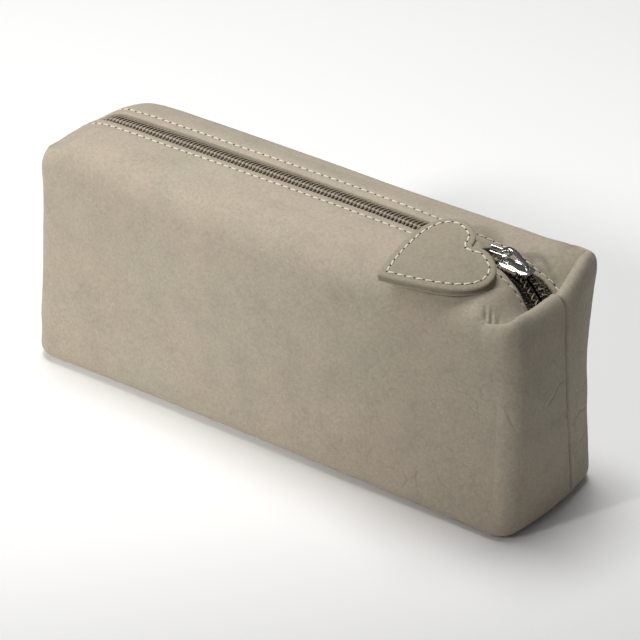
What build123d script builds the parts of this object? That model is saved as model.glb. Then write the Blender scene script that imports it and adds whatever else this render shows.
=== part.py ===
from build123d import *
import math
import os

# Boxed-corner leather wash bag with a full-length coil zip and a heart-shaped pull tab.
# Millimetres. Origin: centre of the flat base. +X runs along the length towards the closed
# end of the zip, -Y is the front, +Z is up.

# ---- driving dimensions -------------------------------------------------------------------
LEN_CORNER = 200.0      # length over the corners
END_BOW = 3.0           # the soft end faces bow out this much at their centre
DEPTH = 56.0            # front to back
CORNER_R = 8.0          # upright corners
BASE_R = 4.0            # round along the base
ROLL_R = 14.0           # soft roll along the top front and top back edges
ZIP_Z0 = 86.4           # top leather above the base at x = 0
ZIP_SLOPE = 0.039       # the zip line falls towards the closed end
LEATHER_T = 1.5
LINING_GAP = 0.1
LINING_T = 0.5
LEFT_DROP_X = -90.0     # the top turns down to the left end seam here
LEFT_DROP_TO = (-101.0, 85.0)
RIGHT_DROP_X = 89.0     # and dips under the right end lip here
RIGHT_DROP_TO = (97.5, 76.8)
LIP_T = 3.2             # rolled boxing seam on top of each end
LIP_TOP_LEFT = 86.2
LIP_TOP_RIGHT = 80.0

SLOT_HALF = 5.0         # half the opening between the two leather edges
TAPE_T = 0.6
TAPE_EDGE = 14.0        # outer edge of each tape half
COIL_IN = 0.35          # inner side of each coil half
COIL_OUT = 3.3
COIL_H = 0.4            # coil stands this much above the leather
STITCH_Y = 7.0
STITCH_W = 0.6
STITCH_H = 0.4

FLAP_S0 = -60.0         # the stretch of mouth that folds open
FLAP_S1 = 45.0
FLAP_GAP = 0.3
FOLD_DEG = 50.0         # where on the top roll the mouth folds
FOLD_GAP = 0.2

SLIDER_S0 = 75.8        # slider body at rest, along the zip
SLIDER_S1 = 88.2
SLIDER_HALF_W = 4.6
BRIDGE_S0 = 76.0        # bridge on top of the slider, its feet along the zip
BRIDGE_S1 = 87.4
BRIDGE_H = 6.7
BRIDGE_HALF_W = 0.85

PIVOT_S = 79.1          # where the link turns, under the bridge
PIVOT_H = 4.45
LINK_LEN = 8.8          # wire centre to wire centre
LINK_HALF = 1.8
LINK_CORNER_R = 1.15
LINK_WIRE_R = 0.6
LINK_RISE_DEG = 0.5     # the link lies back to the left, rising this much

HEART_NOTCH = Vector(69.04, -6.85, 90.8)      # top face, at the notch
HEART_AXIS = Vector(-0.5353, -0.8319, -0.1461)  # from the notch to the tip
HEART_NORMAL = Vector(0.0968, -0.2323, 0.9678)
HEART_SKIN_T = 1.2
HEART_CORE_T = 0.8

LOOP_ROUND_DEG = 60.0   # how far round the link's end the loop sits
LOOP_IN_R = 1.35
LOOP_T = 0.8
LOOP_W = 1.8

ALPHA = math.degrees(math.atan(ZIP_SLOPE))
ZIP_FRAME = Location((0, 0, ZIP_Z0), (0, ALPHA, 0))   # s along the zip, y, h above the leather


def top_z(x):
    return ZIP_Z0 - ZIP_SLOPE * x


# ---- helpers -------------------------------------------------------------------------------
def block(x0, x1, y0, y1, z0, z1):
    return Pos((x0 + x1) / 2, (y0 + y1) / 2, (z0 + z1) / 2) * Box(x1 - x0, y1 - y0, z1 - z0)


def in_zip_frame(shape):
    return ZIP_FRAME * shape


def plan_solid(inset, z0, z1):
    """Outline of the bag seen from above, with bowed ends, as a prism."""
    xc, yc = LEN_CORNER / 2 - inset, DEPTH / 2 - inset
    xb = LEN_CORNER / 2 + END_BOW - inset
    outline = Wire([
        Edge.make_line((-xc, -yc, 0), (xc, -yc, 0)),
        Edge.make_three_point_arc((xc, -yc, 0), (xb, 0, 0), (xc, yc, 0)),
        Edge.make_line((xc, yc, 0), (-xc, yc, 0)),
        Edge.make_three_point_arc((-xc, yc, 0), (-xb, 0, 0), (-xc, -yc, 0)),
    ])
    face = make_face(outline)
    face = fillet(face.vertices(), CORNER_R - inset)
    return Pos(0, 0, z0) * extrude(face, amount=z1 - z0, dir=(0, 0, 1))


def rolled_solid(inset):
    """Everything under the rolled top, running straight along the zip line."""
    yc = DEPTH / 2 - inset
    face = make_face(Polyline((-130, -yc, -130), (-130, yc, -130), (-130, yc, -inset), (-130, -yc, -inset), close=True))
    upper = face.vertices().group_by(Axis.Z)[-1]
    face = fillet(upper, ROLL_R - inset)
    return in_zip_frame(extrude(face, amount=260, dir=(1, 0, 0)))


def crossing(p, q, r, s):
    """Where the line through p and q meets the line through r and s."""
    (x1, y1), (x2, y2), (x3, y3), (x4, y4) = p, q, r, s
    d = (x1 - x2) * (y3 - y4) - (y1 - y2) * (x3 - x4)
    a, b = x1 * y2 - y1 * x2, x3 * y4 - y3 * x4
    return ((a * (x3 - x4) - (x1 - x2) * b) / d, (a * (y3 - y4) - (y1 - y2) * b) / d)


def lowered(p, q, inset):
    """A line moved down by inset, square to itself."""
    (x1, z1), (x2, z2) = p, q
    length = math.hypot(x2 - x1, z2 - z1)
    nx, nz = (z2 - z1) / length, -(x2 - x1) / length
    if nz > 0:
        nx, nz = -nx, -nz
    return (x1 + nx * inset, z1 + nz * inset), (x2 + nx * inset, z2 + nz * inset)


def profile_solid(inset):
    """Everything under the side view of the top: the zip line, and its drop at both ends."""
    left_top = (LEFT_DROP_X, top_z(LEFT_DROP_X))
    right_top = (RIGHT_DROP_X, top_z(RIGHT_DROP_X))
    l0, l1 = lowered(LEFT_DROP_TO, left_top, inset)
    m0, m1 = lowered(left_top, right_top, inset)
    r0, r1 = lowered(right_top, RIGHT_DROP_TO, inset)
    a = crossing(l0, l1, m0, m1)
    b = crossing(m0, m1, r0, r1)
    left_end = crossing(l0, l1, (-130, 0), (-130, 1))
    right_end = crossing(r0, r1, (130, 0), (130, 1))
    pts = [(-130, -30), left_end, a, b, right_end, (130, -30)]
    face = make_face(Polyline(*[(x, -60, z) for x, z in pts], close=True))
    return extrude(face, amount=120, dir=(0, 1, 0))


def bag_solid(inset, base_round):
    body = plan_solid(inset, inset, 110)
    body = fillet(body.edges().group_by(Axis.Z)[0], base_round)
    return body & rolled_solid(inset) & profile_solid(inset)


def mouth_region(side, gap):
    """The part of the top, on one side of the zip, that folds open. side: -1 front, +1 back."""
    f = math.radians(FOLD_DEG)
    cy, ch = -(DEPTH / 2 - ROLL_R), -ROLL_R
    dy, dh = -math.sin(f), math.cos(f)            # outwards, through the fold
    ty, th = -math.cos(f), -math.sin(f)           # round the roll, away from the zip
    c = (cy + gap * ty, ch + gap * th)
    p = (c[0] + 30 * dy, c[1] + 30 * dh)
    pts = [c, (0, c[1]), (0, 25), (p[0], 25), p]
    s0, s1 = FLAP_S0 - (FLAP_GAP if gap else 0), FLAP_S1 + (FLAP_GAP if gap else 0)
    face = make_face(Polyline(*[(s0, -side * y, h) for y, h in pts], close=True))
    return in_zip_frame(extrude(face, amount=s1 - s0, dir=(1, 0, 0)))


def half(side):
    return block(-140, 140, -60, 0, -10, 130) if side < 0 else block(-140, 140, 0, 60, -10, 130)


def band(outer, inner, y0, y1, side, x0, x1):
    """A strip that follows the top's side view, between two depths under the leather's face."""
    lo, hi = (-y1, -y0) if side < 0 else (y0, y1)
    return (profile_solid(outer) - profile_solid(inner)) & block(x0, x1, lo, hi, 60, 110)


def single(shape):
    solids = shape.solids()
    return solids[0] if len(solids) == 1 else Compound(children=list(solids))


def stretch(s0, s1):
    return in_zip_frame(block(s0, s1, -40, 40, -60, 30))


# ---- leather panels ------------------------------------------------------------------------
outer = bag_solid(0.0, BASE_R)
under_leather = bag_solid(LEATHER_T, BASE_R - LEATHER_T)
skin = outer - under_leather

# the rolled boxing seams stand up as a lip on top of each end
rim = (plan_solid(0, 60, 90) - plan_solid(LIP_T, 60, 90)) & rolled_solid(0)
left_lip = rim & block(-110, -97.0, -40, 40, 79.0, LIP_TOP_LEFT)
right_lip = rim & block(96.0, 110, -40, 40, 72.0, LIP_TOP_RIGHT)
skin = skin + left_lip + right_lip
zip_slot = block(-96.0, 95.5, -SLOT_HALF, SLOT_HALF, 70, 110)
skin = skin - zip_slot

# ---- lining --------------------------------------------------------------------------------
lining_in = LEATHER_T + LINING_GAP
lining = bag_solid(lining_in, BASE_R - lining_in) - bag_solid(lining_in + LINING_T, BASE_R - lining_in - LINING_T)
lining = lining - block(-97.5, 96.5, -TAPE_EDGE - 0.2, TAPE_EDGE + 0.2, 66, 110)
# it ends under the boxing seams, where it is sewn in
lining = lining - block(-110, -96.8, -40, 40, 78.8, 110) - block(95.8, 110, -40, 40, 71.8, 110)

nodes = {}
for side, name in ((-1, "front"), (1, "back")):
    folds = mouth_region(side, 0.0)
    cleared = mouth_region(side, FOLD_GAP)
    nodes[f"{name}_panel"] = (skin & half(side)) - cleared
    nodes[f"{name}_mouth_strip"] = (skin & half(side)) & folds
    nodes[f"{name}_lining"] = (lining & half(side)) - cleared
    nodes[f"{name}_mouth_lining"] = (lining & half(side)) & folds

    # ---- zip: woven tape under the leather, nylon coil on its inner edge, thread on top ----
    tape = band(LEATHER_T, LEATHER_T + TAPE_T, COIL_IN, TAPE_EDGE, side, -95.5, 94.5)
    coil = band(-COIL_H, LEATHER_T, COIL_IN, COIL_OUT, side, -95.5, 94.5)
    thread = band(-STITCH_H, 0.0, STITCH_Y - STITCH_W / 2, STITCH_Y + STITCH_W / 2, side, -96.0, 94.5)
    middle = stretch(FLAP_S0, FLAP_S1)
    kept = stretch(FLAP_S0 - FLAP_GAP, FLAP_S1 + FLAP_GAP)
    for solid, part in ((tape, "zip_tape"), (coil, "zip_coil"), (thread, "topstitch")):
        nodes[f"{name}_{part}"] = solid & middle
        nodes[f"{name}_{part}_ends"] = solid - kept

# ---- slider: one casting, its two plates joined by a thin post between the coils ------------
L, W = SLIDER_S1 - SLIDER_S0, SLIDER_HALF_W
mid_s = (SLIDER_S0 + SLIDER_S1) / 2


def plate(h0, h1, width, length):
    b = block(mid_s - length / 2, mid_s + length / 2, -width, width, h0, h1)
    return fillet(b.edges().filter_by(Axis.Z), 1.6)


top_plate = plate(0.7, 1.9, W, L)
top_plate = fillet(top_plate.edges().group_by(Axis.Z)[-1], 0.35)
flanges = (plate(-1.1, 1.2, W, L) - block(mid_s - L, mid_s + L, -W + 0.9, W - 0.9, -2, 0.9))
lower_plate = plate(-3.5, -2.5, W - 0.1, L)
post = block(SLIDER_S1 - 6.5, SLIDER_S1 - 3.0, -0.2, 0.2, -2.8, 1.0)
# bridge over the top plate, running along the zip, open underneath for the link
bs0, bs1, bh, bw = BRIDGE_S0, BRIDGE_S1, BRIDGE_H, BRIDGE_HALF_W
arch = make_face(Polyline((bs0, -bw, 1.5), (bs0 + 0.6, -bw, bh), (bs0 + 6.2, -bw, bh), (bs1, -bw, bh - 3.2), (bs1, -bw, 1.5), close=True))
arch = extrude(arch, amount=2 * bw, dir=(0, 1, 0))
arch = fillet(arch.edges().filter_by(Axis.Y).group_by(Axis.Z)[-1], 1.1)
eye = make_face(Polyline((bs0 + 1.4, -3, 1.92), (bs0 + 1.8, -3, bh - 1.15), (bs0 + 5.6, -3, bh - 1.15), (bs1 - 1.4, -3, bh - 3.9), (bs1 - 1.4, -3, 1.92), close=True))
eye = extrude(eye, amount=6, dir=(0, 1, 0))
bridge = arch - eye
slider = top_plate + flanges + lower_plate + post + bridge
nodes["slider_body"] = in_zip_frame(slider)

# ---- pull link: a small elongated ring through the bridge, lying back to the left ------------
rise = math.radians(LINK_RISE_DEG)
pivot = (ZIP_FRAME * Pos(PIVOT_S, 0, PIVOT_H)).position
e_dir = Vector(-math.cos(rise), 0, math.sin(rise))          # from the pivot to the far end
link_plane = Plane(origin=pivot, x_dir=e_dir, z_dir=e_dir.cross(Vector(0, 1, 0)))
if link_plane.z_dir.Z < 0:
    link_plane = Plane(origin=pivot, x_dir=e_dir, z_dir=-link_plane.z_dir)
r, rc = LINK_HALF, LINK_CORNER_R
k45 = rc * (1 - math.cos(math.pi / 4))
path = Wire([
    Edge.make_line((rc, -r, 0), (LINK_LEN - rc, -r, 0)),
    Edge.make_three_point_arc((LINK_LEN - rc, -r, 0), (LINK_LEN - k45, -r + k45, 0), (LINK_LEN, -r + rc, 0)),
    Edge.make_line((LINK_LEN, -r + rc, 0), (LINK_LEN, r - rc, 0)),
    Edge.make_three_point_arc((LINK_LEN, r - rc, 0), (LINK_LEN - k45, r - k45, 0), (LINK_LEN - rc, r, 0)),
    Edge.make_line((LINK_LEN - rc, r, 0), (rc, r, 0)),
    Edge.make_three_point_arc((rc, r, 0), (k45, r - k45, 0), (0, r - rc, 0)),
    Edge.make_line((0, r - rc, 0), (0, -r + rc, 0)),
    Edge.make_three_point_arc((0, -r + rc, 0), (k45, -r + k45, 0), (rc, -r, 0)),
])
section = Plane(origin=(rc, -r, 0), z_dir=(1, 0, 0)) * Circle(LINK_WIRE_R)
ring = sweep(section, path=path)
nodes["pull_link"] = link_plane.location * ring

# ---- heart pull: two leather faces, a stiff core between them, cream stitching --------------
side_dir = HEART_NORMAL.cross(HEART_AXIS)
heart_plane = Plane(origin=HEART_NOTCH, x_dir=side_dir, z_dir=HEART_NORMAL)   # local y = -axis
HALF_OUTLINE = [(0, 0), (3.2, -2.9), (8.0, -3.8), (12.8, -2.7), (16.2, 1.0), (17.0, 5.4),
                (15.2, 12.6), (10.7, 20.2), (5.6, 26.9), (0, 32.9)]


def heart_face(shrink):
    """The heart's outline, drawn in by shrink all round."""
    k = (17.0 - shrink) / 17.0
    c = 12.0                                     # drawn in towards this point on the axis
    right = [(x * k, -(c + (a - c) * k)) for x, a in HALF_OUTLINE]
    left = [(-x, y) for x, y in right]
    return make_face(Wire([Edge.make_spline([Vector(x, y, 0) for x, y in right]),
                           Edge.make_spline([Vector(x, y, 0) for x, y in reversed(left)])]))


def heart_slab(shrink, z0, z1):
    return heart_plane.location * (Pos(0, 0, z0) * extrude(heart_face(shrink), amount=z1 - z0, dir=(0, 0, 1)))


t1, t2 = HEART_SKIN_T, HEART_SKIN_T + HEART_CORE_T
t3 = t2 + HEART_SKIN_T
nodes["heart_top_leather"] = heart_slab(0, -t1, 0)
nodes["heart_under_leather"] = heart_slab(0, -t3, -t2)
nodes["heart_stitching"] = heart_slab(2.1, 0.0, 0.35) - heart_slab(2.7, -0.1, 0.5)

# ---- leather loop: round the end of the link, its tail held between the heart's layers ------
# it grips the ring's near corner, so the tube is centred on the wire's line there
loop_dir = math.radians(LOOP_ROUND_DEG)
y_dir = Vector(0, 1, 0)
loop_at = pivot + e_dir * (LINK_LEN - rc) - y_dir * (r - rc) + (e_dir * math.cos(loop_dir) - y_dir * math.sin(loop_dir)) * (rc - 0.24)
loop_local = heart_plane.to_local_coords(loop_at)
tail_from = loop_local.Y
tube = Plane(origin=(loop_local.X - LOOP_W / 2, loop_local.Y, loop_local.Z), z_dir=(1, 0, 0))
tube_solid = extrude(tube * Circle(LOOP_IN_R + LOOP_T), amount=LOOP_W) - extrude(tube * Circle(LOOP_IN_R), amount=LOOP_W)
tail = block(loop_local.X - LOOP_W / 2, loop_local.X + LOOP_W / 2, -4.4, tail_from,
             -t2 + 0.02, -t1 - 0.02)
tail = tail - extrude(tube * Circle(LOOP_IN_R), amount=LOOP_W)
nodes["pull_loop"] = heart_plane.location * (tube_solid + tail)
tail_pocket = block(loop_local.X - LOOP_W / 2 - 0.3, loop_local.X + LOOP_W / 2 + 0.3, -4.8, 6, -t2 - 1, -t1 + 1)
nodes["heart_core"] = heart_slab(0.7, -t2, -t1) - heart_plane.location * tail_pocket

# ---- write one file for each sub-part --------------------------------------------------------
os.makedirs("parts", exist_ok=True)
for name, shape in nodes.items():
    export_step(single(shape), f"parts/{name}.step")

fold = math.radians(FOLD_DEG)
fold_y = DEPTH / 2 - ROLL_R + ROLL_R * math.sin(fold)
fold_h = -ROLL_R + ROLL_R * math.cos(fold)
fold_at = (ZIP_FRAME * Pos(0, fold_y, fold_h)).position
zip_dir = Vector(math.cos(math.radians(ALPHA)), 0, -math.sin(math.radians(ALPHA)))
print("fold line through", fold_at, "along", zip_dir)
print("link pivot", pivot, "far end", pivot + e_dir * LINK_LEN)
print("loop centre", loop_at, "local", loop_local, "hinge direction", HEART_AXIS.cross(HEART_NORMAL))
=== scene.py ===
import bpy
import bmesh
import math
import numpy as np
from mathutils import Matrix, Vector, noise


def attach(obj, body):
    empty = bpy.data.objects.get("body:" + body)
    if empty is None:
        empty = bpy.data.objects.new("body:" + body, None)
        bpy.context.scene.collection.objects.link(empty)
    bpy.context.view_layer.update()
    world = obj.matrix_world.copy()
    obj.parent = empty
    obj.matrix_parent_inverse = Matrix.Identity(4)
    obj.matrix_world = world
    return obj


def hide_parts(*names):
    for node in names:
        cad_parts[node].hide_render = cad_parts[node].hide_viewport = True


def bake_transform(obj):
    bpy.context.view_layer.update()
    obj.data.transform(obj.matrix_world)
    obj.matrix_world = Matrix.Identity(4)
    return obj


# Looks of a boxed-corner nubuck wash bag with a coil zip, chromed slider and leather heart pull.
# Geometry is worked out in millimetres in the model's own frame and stored in metres.

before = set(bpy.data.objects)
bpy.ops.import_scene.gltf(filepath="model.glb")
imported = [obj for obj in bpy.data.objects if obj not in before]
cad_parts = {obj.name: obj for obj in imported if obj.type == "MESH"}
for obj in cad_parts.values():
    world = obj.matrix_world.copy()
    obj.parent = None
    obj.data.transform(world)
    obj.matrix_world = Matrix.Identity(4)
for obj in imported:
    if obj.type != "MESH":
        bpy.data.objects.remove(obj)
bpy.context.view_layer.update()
MM = 0.001


# ------------------------------------------------------------------------------------------
# small numeric helpers
# ------------------------------------------------------------------------------------------
def smooth(t):
    t = np.clip(t, 0.0, 1.0)
    return t * t * (3 - 2 * t)


def slopes(xs, ys):
    h = np.diff(xs, axis=-1)
    d = np.diff(ys, axis=-1) / h
    m = np.zeros_like(ys)
    m[..., 1:-1] = (d[..., :-1] * h[..., 1:] + d[..., 1:] * h[..., :-1]) / (h[..., :-1] + h[..., 1:])
    m[..., 0], m[..., -1] = d[..., 0], d[..., -1]
    return m


def curve(pairs):
    """A smooth curve through the given (x, value) pairs."""
    pairs = sorted(pairs)
    xs = np.array([p[0] for p in pairs], float)
    ys = np.array([p[1] for p in pairs], float)
    m = slopes(xs, ys)

    def f(x):
        x = np.clip(np.asarray(x, float), xs[0], xs[-1])
        i = np.clip(np.searchsorted(xs, x, side="right") - 1, 0, len(xs) - 2)
        h = xs[i + 1] - xs[i]
        t = (x - xs[i]) / h
        return ((2 * t**3 - 3 * t**2 + 1) * ys[i] + (t**3 - 2 * t**2 + t) * h * m[i]
                + (-2 * t**3 + 3 * t**2) * ys[i + 1] + (t**3 - t**2) * h * m[i + 1])
    return f


def rows_at(yn, zn, yq):
    """For each row: values at yq on the smooth curve through its own nodes (yn, zn), yn rising."""
    m = slopes(yn, zn)
    out = np.zeros_like(yq)
    k = yn.shape[1]
    for j in range(k - 1):
        a, b = yn[:, j:j + 1], yn[:, j + 1:j + 2]
        h = b - a
        t = (yq - a) / h
        inside = (yq >= a) if j == k - 2 else (yq >= a) & (yq < b)
        if j == 0:
            inside = inside | (yq < a)
        t = np.clip(t, -0.6, 1.6)
        v = ((2 * t**3 - 3 * t**2 + 1) * zn[:, j:j + 1] + (t**3 - 2 * t**2 + t) * h * m[:, j:j + 1]
             + (-2 * t**3 + 3 * t**2) * zn[:, j + 1:j + 2] + (t**3 - t**2) * h * m[:, j + 1:j + 2])
        low = zn[:, j:j + 1] + (yq - a) * m[:, j:j + 1]
        high = zn[:, j + 1:j + 2] + (yq - b) * m[:, j + 1:j + 2]
        v = np.where(yq < a, low, np.where(yq > b, high, v))
        out = np.where(inside, v, out)
    return out


def lumps(p, scale, seed):
    """Smooth value noise about zero at each point of p (n, 3), in mm."""
    out = np.empty(len(p))
    off = Vector((seed * 17.3, seed * 5.1, seed * 11.7))
    for i, q in enumerate(p):
        out[i] = noise.noise(Vector((q[0] / scale, q[1] / scale, q[2] / scale)) + off)
    return out


def grid_faces(rows, cols, flip=False):
    """Quads over an array of rows x cols vertices, row by row."""
    r, c = np.meshgrid(np.arange(rows - 1), np.arange(cols - 1), indexing="ij")
    a = (r * cols + c).ravel()
    f = np.stack([a, a + 1, a + cols + 1, a + cols], axis=1)
    return f[:, ::-1] if flip else f


def face_normals(v, f):
    a, b, c, d = (v[f[:, k]] for k in range(4))
    return np.cross(c - a, d - b)


# ------------------------------------------------------------------------------------------
# shape of the bag: plan outline, and the crest of its wall all the way round
# ------------------------------------------------------------------------------------------
END_R, END_CX = 132.1667, -29.1667
FIL_X, FIL_R = -29.1667 + math.sqrt(124.1667**2 - 400), 8.0
A_END = math.atan2(20.0, FIL_X - END_CX)


def outline_table():
    pts = []
    for a in np.linspace(0, A_END, 60):
        pts.append((END_CX + END_R * math.cos(a), -END_R * math.sin(a), math.cos(a), -math.sin(a)))
    for a in np.linspace(A_END, math.pi / 2, 60)[1:]:
        pts.append((FIL_X + FIL_R * math.cos(a), -20 - FIL_R * math.sin(a), math.cos(a), -math.sin(a)))
    for x in np.linspace(FIL_X, 0, 40)[1:]:
        pts.append((x, -28.0, 0.0, -1.0))
    q = np.array(pts)
    left = q[:-1][::-1] * np.array([-1, 1, -1, 1])
    front = np.vstack([q, left])
    back = front[:-1][::-1] * np.array([1, -1, 1, -1])
    full = np.vstack([front, back])
    s = np.concatenate([[0], np.cumsum(np.hypot(*np.diff(full[:, :2], axis=0).T))])
    return s, full


TAB_S, TAB = outline_table()
FULL = TAB_S[-1]
HALF = FULL / 2
S_C = END_R * A_END                       # end face meets the corner
S_F = S_C + FIL_R * (math.pi / 2 - A_END)  # corner meets the long side


def at_outline(s):
    s = np.mod(s, FULL)
    cols = [np.interp(s, TAB_S, TAB[:, k]) for k in range(4)]
    n = np.hypot(cols[2], cols[3])
    return cols[0], cols[1], cols[2] / n, cols[3] / n


def s_of_x(x):
    return S_F + FIL_X - x


def fold_z(x):
    return 81.4028 - 0.039 * (x + 0.19489)


S_M = (S_C + S_F) / 2
front_crest = [(0, 80.2), (4, 80.8), (11, 80.1), (17, 79.9), (S_C, 80.1), (S_M, 79.7), (S_F, 78.3),
               (s_of_x(90), 77.1), (s_of_x(88), 76.5), (s_of_x(86), 76.5), (s_of_x(83.6), 77.7)]
front_crest += [(s_of_x(x), fold_z(x)) for x in range(80, -81, -8)]
front_crest += [(s_of_x(-86), 84.6), (s_of_x(-90), 84.0), (s_of_x(-FIL_X), 83.2), (HALF - S_M, 82.8),
                (HALF - S_C, 82.4), (HALF, 82.3)]
back_crest = [(0, 80.3), (4, 81.2), (8, 82.9), (11.5, 84.3), (17.9, 86.3), (S_C, 86.3), (S_M, 85.2), (S_F, 84.9),
              (s_of_x(90), 84.9), (s_of_x(86), 84.1), (s_of_x(80), 81.9), (s_of_x(75), 79.9)]
back_crest += [(s_of_x(x), fold_z(x)) for x in range(69, -81, -8)]
back_crest += [(s_of_x(-86), 84.4), (s_of_x(-90), 83.8), (s_of_x(-FIL_X), 83.0), (HALF - S_M, 82.3),
               (HALF - S_C, 82.0), (HALF, 82.3)]
crest_q = curve(front_crest + [(-s, z) for s, z in back_crest if s > 0])

front_inset = [(0, 5.0), (S_C, 5.0), (S_M, 4.3), (S_F, 3.6), (s_of_x(86), 3.275), (s_of_x(70), 3.275),
               (s_of_x(0), 3.275), (s_of_x(-80), 3.275), (s_of_x(-86), 3.3), (s_of_x(-FIL_X), 3.9), (HALF - S_M, 4.6),
               (HALF - S_C, 5.0), (HALF, 5.0)]
back_inset = [(0, 5.0), (S_C, 5.1), (S_M, 4.8), (S_F, 4.2), (s_of_x(86), 3.8), (s_of_x(76), 3.45), (s_of_x(69), 3.275),
              (s_of_x(60), 3.275), (s_of_x(0), 3.275), (s_of_x(-80), 3.275), (s_of_x(-86), 3.3), (s_of_x(-FIL_X), 3.9),
              (HALF - S_M, 4.6), (HALF - S_C, 5.0), (HALF, 5.0)]
inset_q = curve(front_inset + [(-s, z) for s, z in back_inset if s > 0])
lip_q = curve([(0, 1), (S_F - 1, 1), (s_of_x(91), 0.97), (s_of_x(88), 0.85), (s_of_x(86.6), 0.6), (s_of_x(85.4), 0.28), (s_of_x(84), 0),
               (s_of_x(70), 0),
               (s_of_x(-70), 0), (HALF, 0)]
              + [(-s, v) for s, v in [(S_C, 1), (S_M, 0.9), (S_F, 0.5), (s_of_x(92), 0.3), (s_of_x(91), 0), (s_of_x(70), 0), (HALF, 0)]])
right_seam = curve([(-1, 9.0), (3.5, 8.6), (14, 6.5), (26, 4.3), (40, 1.1), (52, -0.6), (64, -1.6), (72, -1.4),
                    (77, -0.8), (82, -1.6)])
left_seam = curve([(-1, -1.5), (20, -0.6), (50, 0.8), (82, 0.0)])

rear_corner = curve([(0, 0), (6, 0.2), (13, 1.1), (21, 1.9), (28, 2.6), (36, 3.1), (43, 3.8), (51, 4.1), (58, 3.7), (66, 2.8),
                     (74, 2.0), (81, 1.5), (90, 1.3)])
left_corner = curve([(0, -0.7), (3, -0.6), (10, 0.0), (18, 0.4), (26, 1.1), (33, 1.5), (48, 2.0), (60, 2.0), (70, 1.5), (79, 0.7),
                     (86, 0.3)])
BASE_ROUND = 5.0
N_BASE, N_ROUND, N_WALL, N_ROLL, N_LIP = 14, 8, 58, 16, 9

front_xs = np.concatenate([np.linspace(FIL_X, 81, 38), np.linspace(81, 72, 15)[1:], np.arange(71.0, -86.0, -1.0),
                           np.linspace(-86, -FIL_X, 11)])
end_s = np.concatenate([[0, 0.25, 0.5, 0.8, 1.2, 1.7, 2.3, 3.0], np.linspace(3.9, S_C, 16), np.linspace(S_C, S_F, 15)[1:-1]])
COLS = np.concatenate([end_s, s_of_x(front_xs), (HALF - end_s)[::-1]])


def lean(s, x, y, nx, z):
    """How far the wall stands in from the outline (positive is inwards)."""
    endness = np.abs(nx)
    side = 1 - endness
    up = smooth((z - 50) / 26)
    d = endness * 0.9 * up
    # the long sides swell a little between top and bottom, and hollow slightly below the roll
    along = np.cos(np.clip(x / 100, -1, 1) * math.pi / 2)
    d = d - side * 0.9 * along * np.sin(np.clip((z - 4) / 76, 0, 1) * math.pi)
    d = d - endness * 0.5 * np.sin(np.clip((z - 4) / 70, 0, 1) * math.pi)
    q = np.mod(s, FULL)
    q = np.where(q > HALF, q - FULL, q)
    # the back corner at the right draws in at half height, and the front corner at the left leans in towards the top
    d = d + rear_corner(z) * np.exp(-((q + S_C + 4) / np.where(q + S_C + 4 > 0, 13.0, 19.0)) ** 2)
    d = d + left_corner(z) * np.exp(-((q - (HALF - S_C - 4)) / 17.0) ** 2)
    d = d + 0.7 * left_corner(z) * np.exp(-((q + (HALF - S_C - 4)) / 17.0) ** 2)
    # the front swells along a line that falls to the right, and hollows out low on the right
    front = side * (y < 0)
    ridge = np.exp(-((z - (49 - 0.12 * x)) / 13) ** 2) * smooth((x + 92) / 20) * smooth((72 - x) / 40)
    hollow = smooth((x - 30) / 58) * smooth((74 - z) / 34) * smooth(z / 14)
    d = d + front * (2.7 * hollow - 0.75 * ridge)
    return d


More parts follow.
